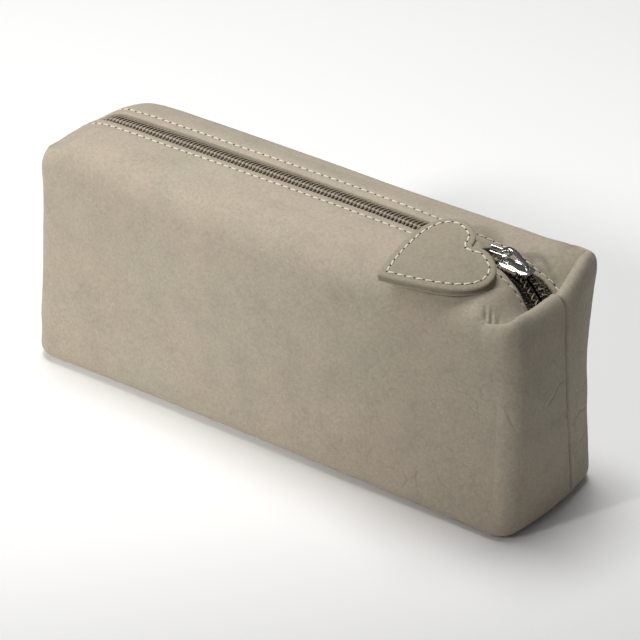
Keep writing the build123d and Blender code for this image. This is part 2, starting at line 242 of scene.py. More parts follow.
def wall(side):
    """Vertices of one half: from the middle of the base, up the wall, over the lip. rows x cols x 3."""
    s0 = COLS if side < 0 else FULL - COLS
    n = len(s0)
    rows = []

    def shifted(z):
        dr = right_seam(z) * (1 - smooth(COLS / 20))
        dl = left_seam(z) * (1 - smooth((HALF - COLS) / 20))
        return s0 - dr + dl

    seam_d = np.minimum(COLS, HALF - COLS)
    groove = 0.85 * np.exp(-(seam_d / 0.45) ** 2) - 0.25 * np.exp(-((seam_d - 1.7) / 1.1) ** 2)

    def place(s, z, inset, round_in=0.0):
        x, y, nx, ny = at_outline(s)
        d = inset + round_in
        return np.stack([x - nx * d, y - ny * d, z * np.ones(n)], 1)

    # base, flat, with its long edges lifted a little between the corners
    s = shifted(np.zeros(n))
    x, y, nx, ny = at_outline(s)
    edge = np.stack([x - nx * BASE_ROUND, y - ny * BASE_ROUND], 1)
    mid_x = np.clip(x, -97, 97)
    mid_y = 9.0 * smooth((mid_x - 55) / 42) - 1.5 * smooth((-mid_x - 60) / 37)
    mid = np.stack([mid_x, mid_y], 1)
    lift = 1.0 * np.cos(np.clip(x / 92, -1, 1) * math.pi / 2) ** 0.7 * (1 - np.abs(nx))
    for k in range(N_BASE):
        t = k / N_BASE
        p = mid * (1 - t) + edge * t
        g = 0.5 * np.exp(-(np.linalg.norm(p - mid, axis=1) / 1.0) ** 2)
        rows.append(np.column_stack([p, g + lift * t**3]))
    for k in range(N_ROUND):
        a = math.pi / 2 * k / N_ROUND
        z = BASE_ROUND * (1 - math.cos(a))
        s = shifted(z * np.ones(n))
        x, y, nx, ny = at_outline(s)
        zz = z + lift * (1 - a / (math.pi / 2) * 0.7)
        d = BASE_ROUND * (1 - math.sin(a)) + lean(s, x, y, nx, zz) * smooth(z / BASE_ROUND)
        d = d + groove * smooth(z / BASE_ROUND)
        rows.append(np.stack([x - nx * d, y - ny * d, zz], 1))
    # the wall proper, up to where the top roll starts
    q0 = np.where(s0 > HALF, s0 - FULL, s0)

    def crest_of(s):
        q = np.mod(s, FULL)
        q = np.where(q > HALF, q - FULL, q)
        x, y, nx, ny = at_outline(s)
        zc = crest_q(q)
        exact = (np.abs(nx) < 1e-6) & (x < 68) & (x > -76)
        zc = np.where(exact, fold_z(x), zc)
        ins = np.where(exact, 14 * (1 - math.cos(math.radians(40))), inset_q(q))
        lip = np.clip(lip_q(q), 0, 1)
        return zc, ins, np.where(lip < 0.02, 0, lip)

    zc0, ins0, lip0 = crest_of(shifted(80 * np.ones(n)))
    r0 = ins0 / (1 - math.cos(math.radians(40)))
    start = (1 - lip0) * (zc0 - r0 * math.sin(math.radians(40))) + lip0 * (zc0 - 12.5)
    z_low = BASE_ROUND + lift * 0.3
    for k in range(N_WALL):
        t = k / N_WALL
        z = z_low + (start - z_low) * t
        s = shifted(z)
        x, y, nx, ny = at_outline(s)
        d = lean(s, x, y, nx, z) + groove
        rows.append(np.stack([x - nx * d, y - ny * d, z], 1))
    for k in range(N_ROLL + 1):
        f = k / N_ROLL
        z_guess = start + (zc0 - start) * math.sin(f * math.pi / 2)
        s = shifted(z_guess)
        zc, ins, lip = crest_of(s)
        r = ins / (1 - math.cos(math.radians(40)))
        a1 = math.radians(40) * f
        a2 = math.pi / 2 * f
        x, y, nx, ny = at_outline(s)
        keep = 1 - smooth(f)                     # the wall's own swell fades into the crest
        d = (1 - lip) * r * (1 - math.cos(a1)) + lip * ins * (1 - math.cos(a2))
        z = ((1 - lip) * (zc - r * math.sin(math.radians(40)) + r * math.sin(a1))
             + lip * (zc - 12.5 + 12.5 * math.sin(a2)))
        d = d + lean(s, x, y, nx, z) * keep + groove
        rows.append(np.stack([x - nx * d, y - ny * d, z], 1))
    crest = rows[-1]
    # the lip turns over the crest and goes down behind it
    s = shifted(zc0)
    zc, ins, lip = crest_of(s)
    lip = np.where(lip < 0.3, 0.0, lip)     # no lip narrower than the leather is thick
    x, y, nx, ny = at_outline(s)
    for k in range(1, N_LIP + 1):
        f = k / N_LIP
        if f <= 0.6:
            a = math.pi / 2 * f / 0.6
            din, dz = 2.3 * math.sin(a), -2.4 * (1 - math.cos(a))
        else:
            din, dz = 2.3 - 0.5 * (f - 0.6) / 0.4, -2.4 - 7.0 * (f - 0.6) / 0.4
        off = lip * din
        rows.append(crest + np.stack([-nx * off, -ny * off, lip * dz], 1))
    v = np.array(rows)
    return v


def dent(v, centre, radius, depth, direction):
    """Moves points near centre along direction. radius may be one number or three."""
    r = np.array(radius, float) * np.ones(3)
    d2 = (((v - np.array(centre)) / r) ** 2).sum(-1)
    return v + np.exp(-d2)[..., None] * depth * np.array(direction, float)


def shape_details(v):
    """Soft waves in the wall, dying out towards the base, the crest and the upright seams."""
    flat = v.reshape(-1, 3)
    row = np.repeat(np.arange(v.shape[0]), v.shape[1])
    up = smooth((row - (N_BASE + N_ROUND + 2)) / 10) * smooth((N_BASE + N_ROUND + N_WALL + 4 - row) / 22)
    n = lumps(flat, 34, 1) * 0.85 + lumps(flat, 14, 2) * 0.30
    end = smooth((np.abs(flat[:, 0]) - 90) / 8)
    d = np.zeros_like(flat)
    d[:, 1] = np.sign(flat[:, 1]) * n * (1 - end) * smooth(np.abs(flat[:, 1]) / 12)
    d[:, 0] = np.sign(flat[:, 0]) * n * end * 0.5 * smooth((np.abs(flat[:, 1]) - 1.0) / 4)
    return (flat + d * up[:, None]).reshape(v.shape)


# ------------------------------------------------------------------------------------------
# the top, as heights over the plan: one table of nodes for the front half and one for the back
# ------------------------------------------------------------------------------------------
TX = [-96.5, -94, -92, -90, -88, -85, -81, -76, -60, -30, 0, 25, 45, 55, 65, 72, 76, 80, 83, 86, 88, 90.5, 93, 95.5]
TOP = {
    -1: {
        20: [82.2, 83.5, 84.7, 85.8, 86.6, 87.1, 87.1, 87.2, 87.0, 86.3, 85.5, 84.9, 84.3, 84.0, 83.6, 83.0, 82.5, 81.6, 80.5, 78.6, 76.9, 75.2, 73.7, 72.2],
        14: [82.2, 84.1, 85.6, 87.0, 88.1, 88.6, 88.8, 88.8, 88.5, 88.0, 87.5, 87.1, 86.7, 86.4, 86.0, 85.3, 84.6, 83.6, 82.5, 80.8, 79.0, 76.5, 74.3, 72.4],
        7.3: [82.1, 84.1, 85.8, 87.3, 88.5, 89.2, 89.5, 89.6, 89.5, 89.4, 89.2, 88.8, 88.2, 87.6, 86.7, 85.8, 85.1, 84.1, 82.4, 80.4, 78.1, 74.9, 72.4, 70.4],
        3.9: [82.0, 83.9, 85.6, 87.1, 88.3, 89.0, 89.2, 89.3, 89.2, 89.1, 88.9, 88.5, 87.9, 87.3, 86.4, 85.5, 84.7, 83.5, 81.6, 79.4, 77.0, 73.8, 71.4, 69.6],
    },
    1: {
        20: [82.0, 83.0, 84.0, 84.9, 85.8, 87.0, 87.6, 87.9, 88.0, 87.7, 87.2, 86.6, 86.5, 86.5, 86.5, 86.5, 86.5, 86.5, 86.6, 86.8, 86.9, 86.6, 85.6, 83.6],
        14: [82.1, 83.5, 84.8, 86.1, 87.4, 88.9, 89.4, 89.6, 89.7, 89.4, 88.9, 88.3, 88.2, 88.1, 88.0, 87.8, 87.6, 87.2, 86.9, 86.5, 86.0, 85.1, 83.6, 81.4],
        7.3: [82.1, 83.8, 85.5, 87.0, 88.3, 89.3, 89.5, 89.8, 89.8, 89.6, 89.4, 88.9, 88.1, 87.6, 86.8, 85.9, 85.2, 84.0, 82.6, 81.2, 80.4, 79.4, 77.4, 75.0],
        3.9: [81.9, 83.6, 85.2, 86.7, 87.9, 88.8, 89.1, 89.2, 89.2, 89.0, 88.8, 88.4, 87.8, 87.2, 86.3, 85.3, 84.5, 83.2, 81.8, 81.0, 80.4, 79.2, 77.0, 74.4],
    },
}
TOP_CURVES = {s: {k: curve(list(zip(TX, v))) for k, v in t.items()} for s, t in TOP.items()}
slot_edge = {-1: curve([(-97, 3.7), (-88, 4.1), (-70, 4.4), (70, 4.4), (77, 4.5), (83, 5.0), (88, 5.7), (92, 6.1), (96, 6.2)]),
             1: curve([(-97, 4.2), (-88, 4.6), (-70, 4.9), (70, 4.9), (78, 5.1), (85, 5.5), (90, 5.8), (96, 6.0)])}
under_right = {-1: [(86.6, 24.5, 76.0), (88, 24.1, 75.2), (90.5, 23.3, 74.2), (93, 22.3, 73.0), (95.5, 21.5, 71.8)],
               1: [(93.9, 23.7, 84.4), (94.4, 23.3, 83.8), (94.9, 22.9, 82.9), (95.5, 22.3, 81.9)]}


def crest_line(q):
    """Plan position and height of the wall's crest at signed outline distance q."""
    x, y, nx, ny = at_outline(np.mod(q, FULL))
    ins = inset_q(q)
    return x - nx * ins, y - ny * ins, crest_q(q)


LEFT_Q = np.linspace(s_of_x(-84), HALF - S_C * 0.995, 160)
LEFT_EDGE = {}
for _side in (-1, 1):
    _x, _y, _z = crest_line(LEFT_Q if _side < 0 else -LEFT_Q)
    LEFT_EDGE[_side] = (_x[::-1].copy(), np.abs(_y[::-1]), _z[::-1].copy())
X_LEFT = float(max(LEFT_EDGE[-1][0][0], LEFT_EDGE[1][0][0]))


def outer_edge(side, x):
    """Where the top leaf meets the wall's crest, or goes under the lip: (|y|, z)."""
    x = np.asarray(x, float)
    s = s_of_x(x)
    q = s if side < 0 else -s
    exact = (x < 68) & (x > -76)
    z = np.where(exact, fold_z(x), crest_q(q))
    y = 28 - np.where(exact, 14 * (1 - math.cos(math.radians(40))), inset_q(q))
    ex, ey, ez = LEFT_EDGE[side]
    y = np.where(x < -86, np.interp(x, ex, ey), y)
    z = np.where(x < -86, np.interp(x, ex, ez), z)
    right = under_right[side]
    ry, rz = curve([(a, b) for a, b, c in right]), curve([(a, c) for a, b, c in right])
    wr = smooth((x - right[0][0] + 0.4) / 2.2) if side < 0 else smooth((x - 93.4) / 0.6)
    y = y * (1 - wr) + ry(x) * wr
    z = z * (1 - wr) + rz(x) * wr
    return y, z


def bow(x, y):
    """Plan curve of the left end: how far the leaf's columns are carried outwards at the middle."""
    return 1.62 * (1 - np.clip(y / 20.4, -1, 1) ** 2) * smooth((-np.asarray(x, float) - 84) / 12.3)


def top_height(side, x, y):
    """Height of the leather's face at (x, |y|) on that half of the top. x (n,), y (n, m)."""
    x = np.asarray(x, float)
    oy, oz = outer_edge(side, x)
    t = TOP_CURVES[side]
    e = slot_edge[side](x)
    edge_drop = 0.0
    yn = np.stack([e, 7.3 * np.ones_like(x), np.minimum(14.0, oy - 7), np.minimum(20.0, oy - 2.6), oy], 1)
    zn = np.stack([t[3.9](x) - edge_drop, t[7.3](x), t[14](x), t[20](x), oz], 1)
    return rows_at(yn, zn, y)


def top_dips(side, x, y, z):
    """Local folds and dips of the top leaf. Arrays of the same shape; y is |y|."""
    def bump(cx, cy, rx, ry, h, turn=0.0):
        c, s = math.cos(turn), math.sin(turn)
        u, w = (x - cx) * c + (y - cy) * s, -(x - cx) * s + (y - cy) * c
        return h * np.exp(-(u / rx) ** 2 - (w / ry) ** 2)
    d = np.zeros_like(z)
    # the leather draws in along the stitch row
    d -= 0.22 * np.exp(-((y - 7.3) / 0.75) ** 2)
    d += 0.12 * np.exp(-((y - 5.6) / 1.0) ** 2)
    if side < 0:
        d += bump(-90, 17, 3.6, 7.5, -1.7, 0.25)      # soft dip inside the front left corner
        # pucker at the front right corner: short folds that fan out from one point
        for cx, cy, ang, h in ((85.2, 22.3, 0.90, -1.0), (86.2, 22.2, 0.95, 0.45), (87.1, 22.2, 1.00, -0.9), (88.2, 21.9, 1.10, 0.30),
                               (89.4, 21.6, 1.25, -0.35)):
            d += bump(cx, cy, 2.3, 0.55, h, ang)
        d += bump(89.5, 18.5, 4, 4, -0.6)
    else:
        d += bump(91, 20, 3.0, 5, -0.7)
        d += bump(60, 15, 20, 4, -0.25)
    return d


def top_leaf(side, xs):
    """One half of the top leaf over the columns xs. rows from the wall's crest to the slot's turned edge."""
    n = len(xs)
    oy, oz = outer_edge(side, xs)
    e = slot_edge[side](xs)
    t = np.concatenate([np.linspace(0, 0.62, 32), np.linspace(0.62, 1, 26)[1:]])
    y = oy[:, None] + (e - oy)[:, None] * t[None, :]
    z = top_height(side, xs, y)
    fade = smooth(np.abs(y - oy[:, None]) / 1.6)
    if side < 0:
        fade = np.maximum(fade, smooth((xs[:, None] - 86.4) / 1.0))
    z = z + top_dips(side, xs[:, None] * np.ones_like(y), y, z) * fade
    z[:, 0] = oz
    rows = [np.stack([xs - bow(xs, y[:, k]), side * y[:, k], z[:, k]], 1) for k in range(len(t))]
    # turned edge
    xe = xs - bow(xs, e)
    for k in range(1, 6):
        a = math.pi / 2 * k / 5
        rows.append(np.stack([xe, side * (e - 0.6 * math.sin(a)), z[:, -1] - 0.6 * (1 - math.cos(a))], 1))
    rows.append(np.stack([xe, side * (e - 0.6), z[:, -1] - 1.5], 1))
    g = np.array(rows)
    # the last columns at the left tuck just under the wall's crest
    tuck = smooth((X_LEFT + 0.9 - xs) / 0.9) * 0.16
    g[:, :, 2] -= tuck[None, :]
    g[0, :, 2] -= 0.08 * smooth((-93.6 - xs) / 0.6)
    return g


# ------------------------------------------------------------------------------------------
# meshes
# ------------------------------------------------------------------------------------------
def make_object(name, v, faces, materials, smooth_faces=True, normals=None, material_index=None):
    me = bpy.data.meshes.new(name)
    me.from_pydata((np.asarray(v) * MM).tolist(), [], [list(f) for f in faces])
    for m in materials:
        me.materials.append(m)
    if material_index is not None:
        me.polygons.foreach_set("material_index", np.asarray(material_index, np.int32))
    me.update()
    if smooth_faces:
        me.polygons.foreach_set("use_smooth", np.ones(len(me.polygons), bool))
    if normals is not None:
        me.normals_split_custom_set(normals)
    me.update()
    o = bpy.data.objects.new(name, me)
    bpy.context.scene.collection.objects.link(o)
    return o


def outward(o):
    """Turns the faces of a closed mesh outwards."""
    bm = bmesh.new()
    bm.from_mesh(o.data)
    bmesh.ops.recalc_face_normals(bm, faces=bm.faces)
    bm.to_mesh(o.data)
    bm.free()


def key(p):
    return tuple(np.round(p * 2000).astype(int))


def shared_normals(leaves):
    """Vertex normals over several grids as one surface: points at the same place share a normal."""
    total = {}
    keys = []
    for v, f in leaves:
        fn = face_normals(v, f)
        ks = [key(p) for p in v]
        keys.append(ks)
        for face, nrm in zip(f, fn):
            for i in face:
                k = ks[i]
                if k in total:
                    total[k] = total[k] + nrm
                else:
                    total[k] = nrm.copy()
    out = []
    for (v, f), ks in zip(leaves, keys):
        n = np.array([total.get(k, (0.0, 0.0, 1.0)) for k in ks])
        ln = np.linalg.norm(n, axis=1, keepdims=True)
        n = n / np.where(ln > 1e-12, ln, 1)
        out.append(n)
    return out


def drop_thin(v, f):
    """Faces without the ones that have shrunk to nothing."""
    a = np.linalg.norm(face_normals(v, f), axis=1)
    return f[a > 1e-4]


def shell(name, v, f, n, thickness, material, inner=None):
    """A closed sheet: outer face, inner face set back along the normals, and an edge all round."""
    used = np.unique(f)
    remap = -np.ones(len(v), int)
    remap[used] = np.arange(len(used))
    v, n, f = v[used], n[used], remap[f]
    m = len(v)
    count = {}
    for face in f:
        for a, b in zip(face, np.roll(face, -1)):
            if a != b:
                count[(a, b)] = count.get((a, b), 0) + 1
    rim = [(a, b) for (a, b) in count if (b, a) not in count]
    back = f[:, ::-1] + m
    side = [(b, a, a + m, b + m) for a, b in rim]
    verts = np.vstack([v, v - n * thickness])
    faces = [tuple(x) for x in f] + [tuple(x) for x in back] + side
    clean = []
    for x in faces:
        y = []
        for i in x:
            if i not in y:
                y.append(int(i))
        clean.append(y)
    o_normals = []
    nf = len(f)
    for k, x in enumerate(clean):
        if k < nf:
            o_normals += [tuple(n[i]) for i in x]
        elif k < 2 * nf:
            o_normals += [tuple(-n[i - m]) for i in x]
        else:
            p = [verts[i] for i in x]
            w = np.cross(p[1] - p[0], p[2] - p[0])
            lw = np.linalg.norm(w)
            w = w / lw if lw > 1e-9 else np.array([0, 0, 1.0])
            o_normals += [tuple(w)] * len(x)
    return make_object(name, verts, clean, [material], normals=o_normals)


# ------------------------------------------------------------------------------------------
# materials
# ------------------------------------------------------------------------------------------
def tree(name):
    m = bpy.data.materials.new(name)
    m.use_nodes = True
    nt = m.node_tree
    nt.nodes.clear()
    out = nt.nodes.new("ShaderNodeOutputMaterial")
    b = nt.nodes.new("ShaderNodeBsdfPrincipled")
    nt.links.new(b.outputs[0], out.inputs[0])
    return m, nt, b


def node(nt, kind, **values):
    n = nt.nodes.new(kind)
    for k, v in values.items():
        if k in n.inputs:
            n.inputs[k].default_value = v
        else:
            setattr(n, k, v)
    return n


def noise_of(nt, vec, scale, detail=3.0, rough=0.55, lac=2.0):
    n = node(nt, "ShaderNodeTexNoise", Scale=scale, Detail=detail, Roughness=rough, Lacunarity=lac)
    nt.links.new(vec, n.inputs["Vector"])
    return n.outputs["Fac"]


def ramp(nt, fac, stops):
    r = nt.nodes.new("ShaderNodeValToRGB")
    el = r.color_ramp.elements
    while len(el) < len(stops):
        el.new(0.5)
    for e, (p, c) in zip(el, stops):
        e.position = p
        e.color = (*c, 1) if len(c) == 3 else c
    nt.links.new(fac, r.inputs[0])
    return r.outputs[0]


def mixc(nt, fac, a, b, mode="MIX"):
    n = nt.nodes.new("ShaderNodeMix")
    n.data_type = "RGBA"
    n.blend_type = mode
    for sock, val in ((n.inputs[0], fac), (n.inputs[6], a), (n.inputs[7], b)):
        if hasattr(val, "is_output") or hasattr(val, "links"):
            nt.links.new(val, sock)
        elif isinstance(val, (int, float)):
            sock.default_value = val
        else:
            sock.default_value = (*val, 1)
    return n.outputs[2]


def mathn(nt, op, a, b=0.5, clamp=False):
    n = nt.nodes.new("ShaderNodeMath")
    n.operation = op
    n.use_clamp = clamp
    for sock, val in ((n.inputs[0], a), (n.inputs[1], b)):
        if isinstance(val, (int, float)):
            sock.default_value = val
        else:
            nt.links.new(val, sock)
    return n.outputs[0]


def bump_of(nt, height, distance, strength=1.0, after=None):
    n = node(nt, "ShaderNodeBump", Strength=strength, Distance=distance)
    nt.links.new(height, n.inputs["Height"])
    if after is not None:
        nt.links.new(after, n.inputs["Normal"])
    return n.outputs[0]


def nubuck(name, warm, cool, specks=0.5, veins=True, grain=1.0):
    """Brushed leather: cloudy colour, fine nap, light specks, and creases low on the front."""
    m, nt, b = tree(name)
    co = nt.nodes.new("ShaderNodeTexCoord").outputs["Object"]
    cloud = noise_of(nt, co, 26, 4, 0.6)
    base = ramp(nt, cloud, [(0.36, cool), (0.62, warm)])
    patch = noise_of(nt, co, 95, 5, 0.65)
    tone = ramp(nt, patch, [(0.28, (0.90, 0.90, 0.90)), (0.5, (1, 1, 1)), (0.74, (1.05, 1.045, 1.04))])
    base = mixc(nt, 1.0, base, tone, "MULTIPLY")
    nap = noise_of(nt, co, 900, 4, 0.7)
    tone = ramp(nt, nap, [(0.30, (0.86, 0.86, 0.86)), (0.52, (1, 1, 1)), (0.78, (1.13, 1.12, 1.10))])
    base = mixc(nt, 1.0, base, tone, "MULTIPLY")
    fleck = noise_of(nt, co, 1500, 2, 0.5)
    f = ramp(nt, fleck, [(0.66, (0, 0, 0)), (0.76, (specks, specks, specks))])
    area = ramp(nt, noise_of(nt, co, 45, 3, 0.5), [(0.42, (0.15, 0.15, 0.15)), (0.62, (1, 1, 1))])
    f = mixc(nt, 1.0, f, area, "MULTIPLY")
    base = mixc(nt, f, base, (0.74, 0.70, 0.60))
    nt.links.new(base, b.inputs["Base Color"])
    # relief: fine pores, soft creases
    fine = noise_of(nt, co, 2300, 3, 0.6)
    h1 = bump_of(nt, fine, 0.00011 * grain, 0.7)
    mid = noise_of(nt, co, 420, 4, 0.6)
    h2 = bump_of(nt, mid, 0.00028 * grain, 0.65, h1)
    last = h2
    if veins:
        vo = node(nt, "ShaderNodeTexVoronoi", Scale=105.0)
        vo.feature = "DISTANCE_TO_EDGE"
        warp = nt.nodes.new("ShaderNodeVectorMath")
        warp.operation = "ADD"
        wn = node(nt, "ShaderNodeTexNoise", Scale=60.0, Detail=3.0)
        nt.links.new(co, wn.inputs["Vector"])
        wsc = nt.nodes.new("ShaderNodeVectorMath")
        wsc.operation = "SCALE"
        wsc.inputs["Scale"].default_value = 0.018
        nt.links.new(wn.outputs["Color"], wsc.inputs[0])
        nt.links.new(co, warp.inputs[0])
        nt.links.new(wsc.outputs[0], warp.inputs[1])
        nt.links.new(warp.outputs[0], vo.inputs["Vector"])
        line = ramp(nt, vo.outputs["Distance"], [(0.0, (0, 0, 0)), (0.12, (1, 1, 1))])
        sep = nt.nodes.new("ShaderNodeSeparateXYZ")
        nt.links.new(co, sep.inputs[0])
        right = mathn(nt, "MULTIPLY", mathn(nt, "SUBTRACT", sep.outputs["X"], 0.005), 14.0, True)
        low = mathn(nt, "MULTIPLY", mathn(nt, "SUBTRACT", 0.078, sep.outputs["Z"]), 30.0, True)
        where = mathn(nt, "MULTIPLY", right, low)
        part = ramp(nt, noise_of(nt, co, 38, 2, 0.5), [(0.45, (0, 0, 0)), (0.6, (1, 1, 1))])
        where = mathn(nt, "MULTIPLY", where, part)
        v = nt.nodes.new("ShaderNodeBump")
        v.inputs["Distance"].default_value = 0.0004
        nt.links.new(where, v.inputs["Strength"])
        nt.links.new(line, v.inputs["Height"])
        nt.links.new(h2, v.inputs["Normal"])
        last = v.outputs[0]
    nt.links.new(last, b.inputs["Normal"])
    r = ramp(nt, patch, [(0.3, (0.78, 0.78, 0.78)), (0.7, (0.92, 0.92, 0.92))])
    nt.links.new(r, b.inputs["Roughness"])
    b.inputs["Specular IOR Level"].default_value = 0.28
    b.inputs["Sheen Weight"].default_value = 0.16
    b.inputs["Sheen Roughness"].default_value = 0.45
    b.inputs["Sheen Tint"].default_value = (0.86, 0.80, 0.70, 1)
    return m


def simple(name, col, rough, spec=0.5, metal=0.0, noise_scale=900, var=0.25, bump_d=0.00008, coat=0.0):
    m, nt, b = tree(name)
    co = nt.nodes.new("ShaderNodeTexCoord").outputs["Object"]
    n = noise_of(nt, co, noise_scale, 4, 0.6)
    lo, hi = [c * (1 - var) for c in col], [min(1, c * (1 + var)) for c in col]
    nt.links.new(ramp(nt, n, [(0.3, lo), (0.7, hi)]), b.inputs["Base Color"])
    if bump_d:
        nt.links.new(bump_of(nt, n, bump_d, 0.6), b.inputs["Normal"])
    r = ramp(nt, n, [(0.3, [max(0.02, rough * 0.85)] * 3), (0.7, [min(1, rough * 1.15)] * 3)])
    nt.links.new(r, b.inputs["Roughness"])
    b.inputs["Metallic"].default_value = metal
    b.inputs["Specular IOR Level"].default_value = spec
    b.inputs["Coat Weight"].default_value = coat
    return m


def woven(name):
    """Dark zip tape: herringbone ribs with pale flecks."""
    m, nt, b = tree(name)
    co = nt.nodes.new("ShaderNodeTexCoord").outputs["Object"]
    mp = node(nt, "ShaderNodeMapping")
    mp.inputs["Scale"].default_value = (1.0, 1.0, 1.0)
    nt.links.new(co, mp.inputs["Vector"])
    sep = nt.nodes.new("ShaderNodeSeparateXYZ")
    nt.links.new(mp.outputs[0], sep.inputs[0])
    warp = mathn(nt, "SINE", mathn(nt, "MULTIPLY", sep.outputs["Y"], 2 * math.pi / 0.0012), 0)
    weft = mathn(nt, "SINE", mathn(nt, "ADD", mathn(nt, "MULTIPLY", sep.outputs["X"], 2 * math.pi / 0.0008),
                                   mathn(nt, "MULTIPLY", warp, 1.6)), 0)
    weave = mathn(nt, "MULTIPLY", mathn(nt, "ADD", warp, 1.0), mathn(nt, "ADD", weft, 1.0))
    fl = noise_of(nt, co, 2600, 2, 0.6)
    col = ramp(nt, mathn(nt, "MULTIPLY", weave, 0.25), [(0.0, (0.012, 0.009, 0.007)), (0.55, (0.055, 0.043, 0.034)),
                                                       (1.0, (0.13, 0.11, 0.09))])
    f = ramp(nt, fl, [(0.55, (0, 0, 0)), (0.62, (0.95, 0.95, 0.95))])
    f = mixc(nt, 1.0, f, ramp(nt, weave, [(0.35, (0, 0, 0)), (0.9, (1, 1, 1))]), "MULTIPLY")
    col = mixc(nt, f, col, (0.52, 0.48, 0.42))
    nt.links.new(col, b.inputs["Base Color"])
    nt.links.new(bump_of(nt, weave, 0.00012, 0.8), b.inputs["Normal"])
    b.inputs["Roughness"].default_value = 0.85
    b.inputs["Specular IOR Level"].default_value = 0.25
    return m


def chrome_metal(name):
    m, nt, b = tree(name)
    co = nt.nodes.new("ShaderNodeTexCoord").outputs["Object"]
    n = noise_of(nt, co, 300, 3, 0.5)
    nt.links.new(ramp(nt, n, [(0.3, (0.72, 0.71, 0.69)), (0.7, (0.86, 0.86, 0.85))]), b.inputs["Base Color"])
    nt.links.new(ramp(nt, n, [(0.3, (0.07, 0.07, 0.07)), (0.7, (0.16, 0.16, 0.16))]), b.inputs["Roughness"])
    nt.links.new(bump_of(nt, n, 0.00003, 0.5), b.inputs["Normal"])
    b.inputs["Metallic"].default_value = 1.0
    return m


LEATHER = nubuck("nubuck", (0.402, 0.343, 0.270), (0.378, 0.340, 0.266))
HEART_LEATHER = nubuck("nubuck_heart", (0.330, 0.285, 0.212), (0.318, 0.286, 0.218), specks=0.35, veins=False, grain=0.8)
EDGE_LEATHER = nubuck("nubuck_cut_edge", (0.30, 0.25, 0.19), (0.27, 0.235, 0.18), specks=0.2, veins=False, grain=1.4)
LINING = simple("cotton_lining", (0.20, 0.175, 0.145), 0.9, 0.2, noise_scale=1400, bump_d=0.0001)
COIL = simple("nylon_coil", (0.33, 0.275, 0.21), 0.36, 0.5, noise_scale=700, var=0.22, bump_d=0.00002)
TAPE = woven("zip_tape_weave")
THREAD = simple("sewing_thread", (0.74, 0.67, 0.55), 0.7, 0.25, noise_scale=2600, var=0.16, bump_d=0.00009)
# the needle-hole colour is painted shade: a dark brown that stands for the shadow inside each hole
NEEDLE_HOLE_SHADE = simple("needle_hole_painted_shade", (0.05, 0.036, 0.024), 0.95, 0.1, noise_scale=1800)
CHROME = chrome_metal("chrome")

# ------------------------------------------------------------------------------------------
# leather pieces
# ------------------------------------------------------------------------------------------
SPLIT_X = -5.0
leaf_xs_mid = front_xs[::-1]
left_extra = -94 - (-X_LEFT - 94) * np.sin(np.linspace(0, math.pi / 2, 12))
right_extra = np.array([93.9, 94.4, 94.9, 95.5])
ALL_XS = np.concatenate([left_extra[::-1], leaf_xs_mid, right_extra])

leaves, meta = [], []
for side, word in ((-1, "front"), (1, "back")):
    w = wall(side)
    w = shape_details(w)
    # keep the crest exactly where the top leaf starts
    crest_row = N_BASE + N_ROUND + N_WALL + N_ROLL
    col_x = front_xs
    c0 = len(end_s)
    oy, oz = outer_edge(side, col_x)
    on_fold = (col_x < 86.0) if side < 0 else (col_x < 93.5)
    for k, ok in enumerate(on_fold):
        if ok:
            target = np.array([col_x[k], side * oy[k], oz[k]])
            delta = target - w[crest_row, c0 + k]
            for r in range(12):
                w[crest_row - r, c0 + k] += delta * (1 - r / 12)
            w[crest_row + 1:, c0 + k] += delta
    r, c = w.shape[:2]
    f = grid_faces(r, c, flip=(side > 0))
    flat = w.reshape(-1, 3)
    f = drop_thin(flat, f)
    leaves.append((flat, f))
    meta.append((word + "_body", side, "wall", w.shape[:2]))
    xs = ALL_XS
    t = top_leaf(side, xs)
    for part, pick in (("left", xs <= SPLIT_X + 1e-6), ("right", xs >= SPLIT_X - 1e-6)):
        g = t[:, pick]
        fl = g.reshape(-1, 3)
        gf = grid_faces(g.shape[0], g.shape[1], flip=(side > 0))
        leaves.append((fl, gf))
        meta.append((word + "_mouth_" + part, side, part, g.shape[:2]))

# which way do the faces look? the wall's middle must look outwards, the top upwards
fixed = []
for (v, f), mt in zip(leaves, meta):
    fn = face_normals(v, f)
    mid = v[f].mean(1)
    if mt[2] == "wall":
        sel = (np.abs(mid[:, 0]) < 60) & (mid[:, 2] > 20) & (mid[:, 2] < 60)
        good = (fn[sel, 1] * mt[1]).sum() > 0
    else:
        good = fn[:, 2].sum() > 0
    fixed.append((v, f if good else f[:, ::-1]))
leaves = fixed
normals = shared_normals(leaves)


def bend(piece):
    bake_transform(piece)


for (v, f), n, (name, side, part, shape) in zip(leaves, normals, meta):
    word = "front" if side < 0 else "back"
    o = shell(name, v, f, n, 1.3, LEATHER)
    if part == "wall":
        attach(o, "bag")
        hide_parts(word + "_panel")
    else:
        bend(o)
        if part == "left":
            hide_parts(word + "_mouth_strip")

# linings: a thin cloth skin set in from the leather
for (v, f), n, (name, side, part, shape) in zip(leaves, normals, meta):
    word = "front" if side < 0 else "back"
    rows, cols = shape
    inner = v - n * 1.75
    if part == "wall":
        keep_rows = N_BASE + N_ROUND + N_WALL + N_ROLL - 3
        keep = (f // cols).max(1) < keep_rows
        seam = np.minimum(COLS, HALF - COLS)
        o = shell(word + "_lining_skin", inner, f[keep], n, 0.35, LINING)
        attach(o, "bag")
        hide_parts(word + "_lining")
    else:
        row = f // cols
        x = v[f][:, :, 0]
        keep = (row.max(1) < 40) & (row.min(1) >= 1) & (x.max(1) < 84) & (x.min(1) > -86)
        o = shell(word + "_mouth_lining_" + part, inner, f[keep], n, 0.35, LINING)
        bend(o)
        if part == "left":
            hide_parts(word + "_mouth_lining")

